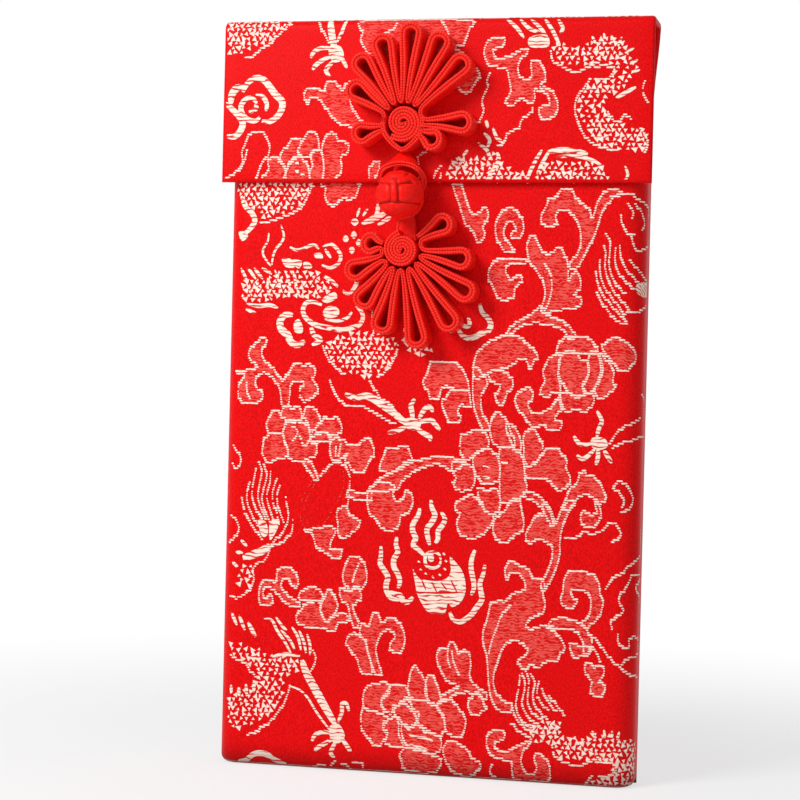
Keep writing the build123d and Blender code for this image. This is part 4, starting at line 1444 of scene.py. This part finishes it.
            "563,590 564,579 569,571 580,571 592,573 599,582 600,591 603,598 602,607 599,616 593,622 586,626 582,622 "
            "588,616 591,606 590,596 585,590 577,588 571,591 573,596 577,600 575,604 569,607 563,603 561,597",
            "549,622 558,617 570,618 581,622 587,628 592,640 590,650 584,651 583,640 577,631 568,627 556,627",
            "570,643 575,643 583,646 591,645 590,652 585,654 573,655",
        ],
    },
    "lowPeony": {
        "pinks": [
            "363,697 365,688 370,684 377,683 385,681 390,685 389,692 383,696 381,703 385,710 380,713 373,709 365,708",
            "390,686 395,683 402,684 407,687 409,694 405,696 402,702 394,705 392,712 388,711 382,705 383,697",
            "363,708 372,710 382,713 388,717 384,721 383,728 387,733 384,740 378,745 372,742 368,736 363,731 361,720",
            "389,718 397,717 399,724 399,734 403,742 402,747 396,745 389,744 385,740 388,733 384,726",
            "408,686 410,676 411,669 415,665 419,669 423,676 426,682 425,690 428,698 420,699 412,697",
            "426,681 429,675 433,674 436,680 439,688 441,696 440,702 434,704 428,698",
            "441,699 446,697 452,699 458,706 463,713 466,721 464,730 461,736 455,735 449,733 445,727 444,715 437,706",
            "404,700 412,698 422,699 433,703 440,709 444,718 445,727 441,735 433,732 424,730 419,722 416,715 411,708",
            "394,709 398,704 405,699 411,701 413,708 419,712 418,718 413,724 405,725 401,719 396,715",
            "400,752 408,746 420,748 430,753 440,757 441,764 436,770 425,772 412,770 404,768 402,760",
            "443,748 447,741 454,740 462,745 469,750 471,757 477,760 481,764 476,771 468,775 455,772 448,764 445,756",
            "402,724 412,726 420,724 432,732 441,737 440,750 428,752 410,746 403,738",
        ],
        "strokes": [
            (1.7, "406,727 411,731"), (1.7, "409,735 418,737 426,738 433,741"), (1.7, "410,744 420,747 428,750"),
        ],
    },
    "budLeaf": {
        "pinks": [
            "438,662 437,652 441,647 447,648 450,642 455,643 459,652 464,649 469,652 471,662 470,676 476,685 487,693 "
            "484,698 476,693 466,691 456,693 448,698 442,701 442,694 452,689 459,685 450,681 443,674",
            "470,698 468,705 471,712 477,714 484,709 487,707 484,702 482,696 477,691",
        ],
        "dashes": ["448,649 448,658 450,667", "452,650 454,662 459,674"],
    },
    "hookScroll": {
        "pinks": [
            "487,745 487,736 492,730 500,729 505,733 502,739 495,741 496,748 503,751 514,747 527,741 531,741 524,749 "
            "521,760 525,770 532,773 537,767 534,758 537,753 543,755 549,763 550,772 547,780 517,780 512,770 511,760 "
            "500,758 491,754",
        ],
        "dashes": ["492,763 490,770 494,776"],
    },
    "tailBundle": {
        "dashes": [
            "520,675 519,685 517,695 516,705 519,715 525,722 533,728",
            "522,672 525,680 524,692 522,703 526,713 533,720 541,726",
            "526,671 529,680 528,692 528,702 533,712 541,718", "531,673 535,681 533,692 534,702 540,711 547,718",
            "539,681 537,692 541,702 548,709", "542,688 545,696 551,704 556,710", "549,695 555,702 561,709 564,715",
            "512,705 515,715 521,723 528,729", "512,722 517,729 524,733 531,738",
        ],
        "scales": ["528,726 546,722 560,722 556,738 546,744 534,743 529,738"],
    },
    "cornerDragon": {
        "scales": [
            "552,725 562,732 572,738 585,738 597,733 612,732 624,738 632,746 637,758 637,785 612,787 590,786 600,778 "
            "612,772 614,765 600,760 585,759 572,760 560,757 554,748 550,738",
        ],
        "dashes": [
            "552,745 555,755 562,760 572,764 580,765 588,761 598,757", "597,762 612,763 616,768 612,774 600,776",
            "592,775 587,781 583,786",
        ],
        "strokes": [
            (1.4, "592,731 596,738"), (1.4, "604,730 605,738"), (1.4, "612,731 612,738"), (1.4, "619,732 617,740"),
        ],
    },
}

weave = {
    "point": 0.236,  # millimetres to one picture point
    "smoothing": 3, "strokeStep": 0.45, "strokeArch": 0.1, "taper": 0.45, "order": 0.0006,
    "pinkLift": 0.05, "patchLift": 0.1, "strokeLift": 0.08, "grooveLift": 0.2, "dashLift": 0.1, "scaleLift": 0.06,
    "dash": {
        "Pitch": 0.56, "Row": 0.54, "Float": 0.7, "Width": 0.4, "Thickness": 0.42, "Height": 0.07,
        "Unevenness": 0.22, "Scatter": 0.05, "Turn": 0.0, "Sides": 6,
    },
    "faint": {
        "Pitch": 0.62, "Row": 0.54, "Float": 0.4, "Width": 0.3, "Thickness": 0.3, "Height": 0.04,
        "Unevenness": 0.3, "Scatter": 0.1, "Turn": 0.0, "Sides": 4,
    },
    "scale": {
        "Pitch": 1.35, "Row": 0.001, "Float": 0.7, "Width": 0.75, "Thickness": 1.2, "Height": 0.07,
        "Unevenness": 0.35, "Scatter": 0.2, "Turn": 3.1, "Sides": 3,
    },
    "scaleRow": 1.1, "seed": 7, "repeat": 166.0, "sideRepeat": 105.7,
}
unsized = ("Unevenness", "Turn", "Sides")  # inputs of the floats that aren't lengths

weftLook = {"roughSpread": 0.2, "gloss": 0.08, "relief": 0.05, "bump": 0.5}


# patterned weft: level, wandering floats with the ground's red showing between them, with painted shade towards the
# foot
def weftMaterial(name, look):
    material, tree, shader = newMaterial(name)
    place = objectPlace(tree)
    spot = addNode(tree, "ShaderNodeSeparateXYZ", {0: place}).outputs
    drawn = vectorNode(tree, "MULTIPLY", place, (look["draw"], 1.0, 1.0))
    noise = addNode(tree, "ShaderNodeTexNoise", {"Vector": drawn, "Scale": look["grain"], "Detail": 1.0})
    parts = addNode(tree, "ShaderNodeSeparateColor", {"Color": noise.outputs["Color"]}).outputs
    up = mathNode(tree, "ADD", spot["Y"], spot["Z"])
    wander = mathNode(tree, "MULTIPLY_ADD", parts["Red"], look["wander"] * mm, up)
    wave = mathNode(tree, "SINE", mathNode(tree, "MULTIPLY", wander, 2 * math.pi / (look["rib"] * mm)))
    broken = mathNode(tree, "MULTIPLY_ADD", parts["Green"], look["breaks"], wave)
    shown = eased(tree, mathNode(tree, "SUBTRACT", broken, look["breaks"] / 2), look["low"], look["high"])
    tint = mixColour(tree, parts["Blue"], look["deep"], look["light"])
    feed(tree, shader, {
        "Base Color": footPaintedShaded(tree, mixColour(tree, shown, look["ground"], tint)),
        "Roughness": mathNode(tree, "MULTIPLY_ADD", parts["Blue"], weftLook["roughSpread"], look["rough"]),
        "Specular IOR Level": weftLook["gloss"],
        "Normal": bumped(tree, shown, weftLook["relief"], weftLook["bump"]),
    })
    return material


pinkLook = {
    "ground": (0.72, 0.006, 0.006), "deep": (0.80, 0.05, 0.04), "light": (0.92, 0.135, 0.11), "rib": 0.72,
    "wander": 1.6, "breaks": 5.0, "low": -0.75, "high": 0.6, "grain": 1000.0, "draw": 0.8, "rough": 0.45,
}
creamLook = {
    "ground": (0.74, 0.03, 0.03), "deep": (0.95, 0.70, 0.54), "light": (1.0, 0.95, 0.84), "rib": 0.95,
    "wander": 1.5, "breaks": 2.4, "low": -1.0, "high": -0.3, "grain": 700.0, "draw": 0.5, "rough": 0.45,
}
dotLook = {
    "deep": (0.98, 0.70, 0.58), "light": (1.0, 0.95, 0.88), "worn": (0.98, 0.6, 0.5), "drift": 0.3,
    "grain": 1100.0, "draw": 1.0, "rough": 0.5, "gloss": 0.1, "relief": 0.02,
    "sheen": 0.0, "sheenTint": (1.0, 0.9, 0.8),
}
pinkWeft = weftMaterial("salmonWeft", pinkLook)
creamWeft = weftMaterial("creamWeft", creamLook)
creamDots = clothMaterial("creamFloats", dotLook)
patternThreads = (pinkWeft, creamDots, brocade, creamWeft)
pinkSlot, dotSlot, groundSlot, creamSlot = range(4)


# realized, shaded and painted end of a node tree
def finishTree(tree, geometry, given, end, smooth):
    real = addNode(tree, "GeometryNodeRealizeInstances", {"Geometry": geometry})
    soft = addNode(tree, "GeometryNodeSetShadeSmooth", {0: real.outputs[0], "Shade Smooth": smooth})
    paint = addNode(tree, "GeometryNodeSetMaterial", {"Geometry": soft.outputs[0], "Material": given["Thread"]})
    tree.links.new(paint.outputs[0], end.inputs["Geometry"])
    return tree


# node tree that sets level floats of weft along every curve: dots where it climbs, longer where it runs level
def makeFloatTree():
    sizes = ("Pitch", "Row", "Float", "Width", "Thickness", "Height", "Unevenness", "Scatter", "Turn")
    tree, given, end = newTree("wovenFloats", sizes, ("Seed", "Sides"), ("Thread",))

    def vector(**parts):
        return addNode(tree, "ShaderNodeCombineXYZ", parts).outputs[0]

    def partsOf(kind):
        return addNode(tree, "ShaderNodeSeparateXYZ", {0: tree.nodes.new(kind).outputs[0]}).outputs

    def chance(kind, low, high):
        first, out = (0, 0) if kind == "FLOAT_VECTOR" else (2, 1)
        inputs = {first: low, first + 1: high, "Seed": given["Seed"]}
        return addNode(tree, "FunctionNodeRandomValue", inputs, data_type=kind).outputs[out]

    spot = partsOf("GeometryNodeInputPosition")
    least, most = (mathNode(tree, "MULTIPLY", given["Scatter"], way) for way in (-1.0, 1.0))
    moved = addNode(tree, "GeometryNodeSetPosition", {
        "Geometry": resampled(tree, given["Geometry"], given["Pitch"]),
        "Position": vector(X=spot["X"], Y=mathNode(tree, "SNAP", spot["Y"], given["Row"])),
        "Offset": chance("FLOAT_VECTOR", vector(X=least, Y=least), vector(X=most, Y=most)),
    }).outputs[0]
    level = mathNode(tree, "ABSOLUTE", partsOf("GeometryNodeInputTangent")["X"])
    across = mathNode(tree, "MULTIPLY_ADD", level, given["Float"], given["Width"])
    size = vector(X=across, Y=given["Thickness"], Z=given["Height"])
    smaller, larger = (mathNode(tree, kind, 1.0, given["Unevenness"]) for kind in ("SUBTRACT", "ADD"))
    back = mathNode(tree, "MULTIPLY", given["Turn"], -1.0)
    grain = addNode(tree, "GeometryNodeMeshUVSphere", {"Segments": given["Sides"], "Rings": 2, "Radius": 0.5})
    placed = addNode(tree, "GeometryNodeInstanceOnPoints", {
        "Points": moved, "Instance": grain.outputs["Mesh"],
        "Scale": vectorNode(tree, "SCALE", size, chance("FLOAT", smaller, larger)),
        "Rotation": vector(Z=chance("FLOAT", back, given["Turn"])),
    })
    return finishTree(tree, placed.outputs["Instances"], given, end, False)


# node tree that lays a low arched band along every curve, as wide as the curve's radius
def makeStrokeTree():
    tree, given, end = newTree("wovenStroke", ("Step", "Arch"), (), ("Thread",))
    crown = addNode(tree, "ShaderNodeCombineXYZ", {"Y": given["Arch"]}).outputs[0]
    arch = {"Resolution": 4, "Start": (-mm, 0.0, 0.0), "Middle": crown, "End": (mm, 0.0, 0.0)}
    band = addNode(tree, "GeometryNodeCurveToMesh", {
        "Curve": uprightCurve(tree, given["Geometry"], given["Step"]),
        "Profile Curve": addNode(tree, "GeometryNodeCurveQuadraticBezier", arch).outputs[0],
        "Scale": tree.nodes.new("GeometryNodeInputRadius").outputs[0],
    })
    return finishTree(tree, band.outputs[0], given, end, True)


floatTree = makeFloatTree()
strokeTree = makeStrokeTree()


# curve through every point of a row
def smoothed(points, closed):
    count, steps = len(points), weave["smoothing"]
    result = []
    for index in range(count if closed else count - 1):
        around = [index - 1, index, index + 1, index + 2]
        if not closed:
            around = [min(max(place, 0), count - 1) for place in around]
        corners = [points[place % count] for place in around]
        for step in range(steps):
            result.append(tuple(between(*axis, step / steps) for axis in zip(*corners)))
    return result if closed else result + [points[-1]]


# a drawn row of picture points, laid out flat on the cloth in millimetres
def flatPath(drawing, layout, closed):
    points = [tuple(float(part) for part in spot.split(",")) for spot in drawing.split()]
    flat = []
    for px, py in smoothed(points, closed):
        x, z = seenAt(px, py, layout["face"])
        if layout["rounded"] and abs(x) > pouch["flat"]:
            turn = math.asin(min(1.0, (abs(x) - pouch["flat"]) / pouch["cornerRadius"]))
            x = math.copysign(pouch["flat"] + pouch["cornerRadius"] * turn, x)
        flat.append((x + layout["across"], z + layout["up"]))
    return flat


def withinReach(path, layout):
    for axis in (0, 1):
        places = [point[axis] for point in path]
        if min(places) >= layout["high"][axis] or max(places) <= layout["low"][axis]:
            return False
    return True


# level rows of scales inside an outline, each row half a pitch on from the last
def scaleRows(outline):
    rows = []
    pitch, height = weave["scale"]["Pitch"], weave["scaleRow"]
    level = math.ceil(min(y for x, y in outline) / height)
    while level * height < max(y for x, y in outline):
        y = level * height
        crossings = sorted(
            one[0] + (y - one[1]) / (two[1] - one[1]) * (two[0] - one[0])
            for one, two in zip(outline, outline[1:] + outline[:1]) if (one[1] <= y) != (two[1] <= y)
        )
        shift = 0.5 * pitch * (level % 2)
        for left, right in zip(crossings[::2], crossings[1::2]):
            first = math.ceil((left - shift) / pitch) * pitch + shift
            last = math.floor((right - shift) / pitch) * pitch + shift
            if last > first:
                rows.append([(first, y), (last, y)])
        level += 1
    return rows


def layFill(shell, outline, lift, slot):
    spots = [shell.verts.new((x * mm, y * mm, lift * mm)) for x, y in outline]
    for triangle in tessellate_polygon([[Vector((x, y, 0.0)) for x, y in outline]]):
        face = shell.faces.new([spots[index] for index in triangle])
        face.normal_update()
        if face.normal.z < 0:
            face.normal_flip()
        face.material_index = slot
        face.smooth = True


# woven threads from a node tree, lifted off the cloth and added to a flat panel
def layThreads(shell, tree, paths, values, lift, slot, cyclic=False):
    if not paths:
        return
    made = throughTree("threads", tree, paths, values, nurbs=False, cyclic=cyclic)
    mesh = made.data
    band = tree == strokeTree
    for polygon in mesh.polygons:
        polygon.material_index = slot
    for vertex in mesh.vertices:
        vertex.co.z = (abs(vertex.co.z) if band else vertex.co.z) + lift * mm
    if band:
        mesh.update()
        if sum(polygon.normal.z < 0 for polygon in mesh.polygons) > len(mesh.polygons) / 2:
            mesh.flip_normals()
    shell.from_mesh(mesh)
    bpy.data.objects.remove(made)
    bpy.data.meshes.remove(mesh)


# cut along a line, or cut away what lies beyond it on one side
def cutShell(shell, axis, place, side=0):
    spot, normal = [0.0, 0.0, 0.0], [0.0, 0.0, 0.0]
    spot[axis] = place * mm
    normal[axis] = -1.0 if side < 0 else 1.0
    geometry = shell.verts[:] + shell.edges[:] + shell.faces[:]
    bmesh.ops.bisect_plane(shell, geom=geometry, dist=1e-7, plane_co=spot, plane_no=normal, clear_outer=side != 0)


# stroke with its half width at each point, drawn in towards both ends
def tapered(path, half):
    last, taper = len(path) - 1, weave["taper"]
    widths = [taper + (1 - taper) * math.sin(math.pi * index / last) ** 0.5 for index in range(last + 1)]
    return [(x, y, half * weave["point"] * width) for (x, y), width in zip(path, widths)]


# figures of one layout, flat: filled outlines cut where the panel bends, then the threads over them
def layFigures(layout, cuts):
    shell = bmesh.new()
    outlines = {"rims": [], "scales": []}
    lines = {"dashes": [], "faint": [], "strokes": [], "grooves": []}
    order = 0.0

    def drawn(figure, kind):
        paths = [flatPath(drawing, layout, True) for drawing in figure.get(kind, [])]
        return [path for path in paths if withinReach(path, layout)]

    for figure in layout["figures"].values():
        for outline in drawn(figure, "pinks"):
            layFill(shell, outline, weave["pinkLift"] + order, pinkSlot)
            outlines["rims"].append(outline)
            order += weave["order"]
        for outline in drawn(figure, "patches"):
            layFill(shell, outline, weave["patchLift"] + order, creamSlot)
        for outline in drawn(figure, "scales"):
            outlines["scales"] += scaleRows(outline)
        for kind, paths in lines.items():
            for drawing in figure.get(kind, []):
                half, points = drawing if kind in ("strokes", "grooves") else (None, drawing)
                path = flatPath(points, layout, False)
                if withinReach(path, layout):
                    paths.append(tapered(path, half) if half else path)
    for axis, places in enumerate(cuts):
        for place in places:
            if layout["low"][axis] < place < layout["high"][axis]:
                cutShell(shell, axis, place)
    band = {"Step": weave["strokeStep"] * mm, "Arch": weave["strokeArch"] * 2 * mm, "Thread": creamWeft}
    stitch = {}
    for name in ("dash", "faint", "scale"):
        stitch[name] = {size: value * (1 if size in unsized else mm) for size, value in weave[name].items()}
        stitch[name].update({"Seed": weave["seed"], "Thread": creamDots})
    layThreads(shell, strokeTree, lines["strokes"], band, weave["strokeLift"], creamSlot)
    layThreads(shell, strokeTree, lines["grooves"], band, weave["grooveLift"], groundSlot)
    layThreads(shell, floatTree, outlines["rims"], stitch["dash"], weave["dashLift"], dotSlot, cyclic=True)
    layThreads(shell, floatTree, lines["dashes"], stitch["dash"], weave["dashLift"], dotSlot)
    layThreads(shell, floatTree, lines["faint"], stitch["faint"], weave["dashLift"], pinkSlot)
    layThreads(shell, floatTree, outlines["scales"], stitch["scale"], weave["scaleLift"], dotSlot)
    for axis in (0, 1):
        cutShell(shell, axis, layout["low"][axis], -1)
        cutShell(shell, axis, layout["high"][axis], 1)
    return shell


# the front's cloth as it rolls under at the foot
def footPoint(across, z, out):
    foot = pouch["footRadius"]
    return frontPoint(across, z, out - foot + math.sqrt(foot ** 2 - max(0.0, foot - z) ** 2))


# figures of one panel, bent to its cloth
def makePattern(name, panelPoint, layouts, cuts):
    mesh = bpy.data.meshes.new(name)
    panel = bmesh.new()
    for layout in layouts:
        shell = layFigures(layout, cuts)
        shell.to_mesh(mesh)
        shell.free()
        panel.from_mesh(mesh)
    for vertex in panel.verts:
        across, up, out = vertex.co / mm
        vertex.co = panelPoint(across, up, out) * mm
    panel.to_mesh(mesh)
    panel.free()
    for material in patternThreads:
        mesh.materials.append(material)
    made = newObject(name, mesh)
    print(name, sum(len(polygon.vertices) - 2 for polygon in mesh.polygons), "triangles")
    return made


# figures moved across and up from where they are drawn, and kept between two corners of the flat cloth
def layoutOf(figures, across, up, low, high, rounded=False):
    face = wrap["flapFace"] if figures is flapFigures else pouch["front"]
    return {
        "figures": figures, "face": face, "across": across, "up": up, "low": low, "high": high, "rounded": rounded,
    }


# guessed flowers for the places that the frog hides: how far each is moved from where it is drawn
hidden = {"upper": ("leftPeony", 22.9, 75.3), "lower": ("leftPeony", 24.0, 39.0)}


def hiddenLayout(place, up, low, high):
    name, across, rise = hidden[place]
    return layoutOf({name: bodyFigures[name]}, across, rise + up, low, high)


flatHalf, cornerEnd, sideEdge = pouch["flat"], pouch["corner"], pouch["end"] - 0.5
foot, mouth, edge = 0.5, pouch["mouth"] - 1.0, wrap["flapEdge"]
levelCuts = spaced(-flatHalf, flatHalf, 5.0)
cornerCuts = spaced(flatHalf, cornerEnd, 1.1)[1:]
frontCuts = (
    levelCuts + cornerCuts + [-place for place in cornerCuts],
    spaced(0.4, pouch["footRadius"], 0.35) + spaced(4.0, pouch["mouth"], 6.0),
)
frontPattern = makePattern("frontPattern", footPoint, [
    layoutOf(bodyFigures, 0.0, 0.0, (-sideEdge, foot), (sideEdge, edge), True),
    layoutOf(bodyFigures, weave["sideRepeat"], 0.0, (cornerEnd, foot), (sideEdge, edge), True),
    layoutOf(bodyFigures, -weave["sideRepeat"], 0.0, (-sideEdge, foot), (-cornerEnd, edge), True),
    layoutOf(flapFigures, 0.0, 0.0, (-cornerEnd, edge), (cornerEnd, mouth), True),
    hiddenLayout("upper", 0.0, (-flatHalf, edge), (flatHalf, mouth)),
], frontCuts)
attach(frontPattern, "pouch")

arcCuts = spaced(wrap["flapRun"], wrap["spineStart"], 0.45) + spaced(wrap["spineEnd"], wrap["backStart"], 0.45)
faceCuts = spaced(0.0, wrap["flapRun"] - 1.0, 6.0) + spaced(wrap["backStart"] + 1.0, wrap["length"], 6.0)
wrapCuts = (levelCuts, arcCuts + faceCuts)
flapSide, backSide = wrap["flapHalf"] - wrap["edgeRadius"], wrap["backHalf"] - wrap["edgeRadius"]
crown, seam, repeat = wrap["top"] - edge, wrap["seam"], weave["repeat"]
flapPattern = makePattern("flapPattern", wrapPoint, [
    layoutOf(flapFigures, 0.0, -edge, (-flapSide, wrap["edgeRadius"]), (flapSide, crown)),
    layoutOf(bodyFigures, 0.0, repeat - edge, (-flapSide, crown), (flapSide, seam)),
], wrapCuts)
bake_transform(flapPattern)

again = 2 * repeat - edge
backPattern = makePattern("backPattern", wrapPoint, [
    layoutOf(bodyFigures, 0.0, repeat - edge, (-backSide, seam), (backSide, repeat)),
    layoutOf(flapFigures, 0.0, repeat - edge, (-backSide, repeat), (backSide, again)),
    layoutOf(bodyFigures, 0.0, again, (-backSide, again), (backSide, wrap["length"] - 1.0)),
    hiddenLayout("upper", repeat - edge, (-backSide, seam), (backSide, wrap["length"])),
    hiddenLayout("lower", repeat - edge, (-backSide, seam), (backSide, wrap["length"])),
], wrapCuts)
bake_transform(backPattern)
print("figures woven")

# pieces carried over from the frame take a finish by their names
finishes = {"_card": card, "_tab": lining, "_lining": lining, "stitch": thread, "brocade": brocade}
for name, node in nodes.items():
    for ending, material in finishes.items():
        if ending in name:
            node.data.materials.clear()
            node.data.materials.append(material)


def areaLight(name, place, aim, size, power):
    data = bpy.data.lights.new(name, "AREA")
    data.size = size
    data.energy = power
    lamp = newObject(name, data)
    spot = Vector(place)
    lamp.matrix_world = Matrix.Translation(spot) @ (spot - Vector(aim)).to_track_quat("Z", "Y").to_matrix().to_4x4()


areaLight("keyLight", (-0.25, -0.36, 0.38), (0.0, 0.0, 0.09), 0.2, 1.95)
areaLight("fillLight", (0.7, -0.8, 0.25), (0.0, 0.0, 0.09), 0.8, 1.0)


# one for the rays that show a surface itself, straight or in a reflection
def directlySeen(tree):
    ray = tree.nodes.new("ShaderNodeLightPath").outputs
    reflected = mathNode(tree, "MAXIMUM", ray["Is Glossy Ray"], ray["Is Transmission Ray"])
    return mathNode(tree, "MAXIMUM", ray["Is Camera Ray"], reflected)


# white where it is seen, dimmer as a light
world = bpy.data.worlds.new("paleRoom")
bpy.context.scene.world = world
world.use_nodes = True
worldTree = world.node_tree
worldTree.nodes.clear()
ambient, white = (
    addNode(worldTree, "ShaderNodeBackground", {"Color": (1.0, 1.0, 1.0, 1.0), "Strength": strength}).outputs[0]
    for strength in (0.36, 1.0)
)
either = addNode(worldTree, "ShaderNodeMixShader", {"Fac": directlySeen(worldTree), 1: ambient, 2: white})
addNode(worldTree, "ShaderNodeOutputWorld", {"Surface": either.outputs[0]})

# floor that takes a faint shadow near the envelope and fades into the white
floorLook = {
    "deep": (0.86, 0.86, 0.86), "light": (0.9, 0.9, 0.9), "grain": 400.0, "rough": 0.9, "gloss": 0.1,
    "near": 0.06, "far": 0.3, "nearWhite": 0.65, "half": 3000.0, "drop": -0.05,
}
floorMaterial, floorTree, floorShader = newMaterial("paleFloor")
floorGrain = grainNode(floorTree, floorLook["grain"], 1.0).outputs["Broad"]
feed(floorTree, floorShader, {
    "Base Color": mixColour(floorTree, floorGrain, floorLook["deep"], floorLook["light"]),
    "Roughness": floorLook["rough"], "Specular IOR Level": floorLook["gloss"],
})
away = addNode(floorTree, "ShaderNodeVectorMath", {0: objectPlace(floorTree)}, operation="LENGTH").outputs["Value"]
away = eased(floorTree, away, floorLook["near"], floorLook["far"])
fade = mathNode(floorTree, "MULTIPLY_ADD", away, 1 - floorLook["nearWhite"], floorLook["nearWhite"])
floorMix = addNode(floorTree, "ShaderNodeMixShader", {
    "Fac": mathNode(floorTree, "MULTIPLY", directlySeen(floorTree), fade),
    1: floorShader.outputs[0], 2: floorTree.nodes.new("ShaderNodeEmission").outputs[0],
})
floorTree.links.new(floorMix.outputs[0], floorTree.nodes["Material Output"].inputs["Surface"])
half, drop = floorLook["half"], floorLook["drop"]
corners = [(-half, -half, drop), (half, -half, drop), (half, half, drop), (-half, half, drop)]
floor = meshObject("paleFloor", corners, [(0, 1, 2, 3)], floorMaterial, smooth=False)

bpy.context.scene.view_settings.view_transform = "Standard"
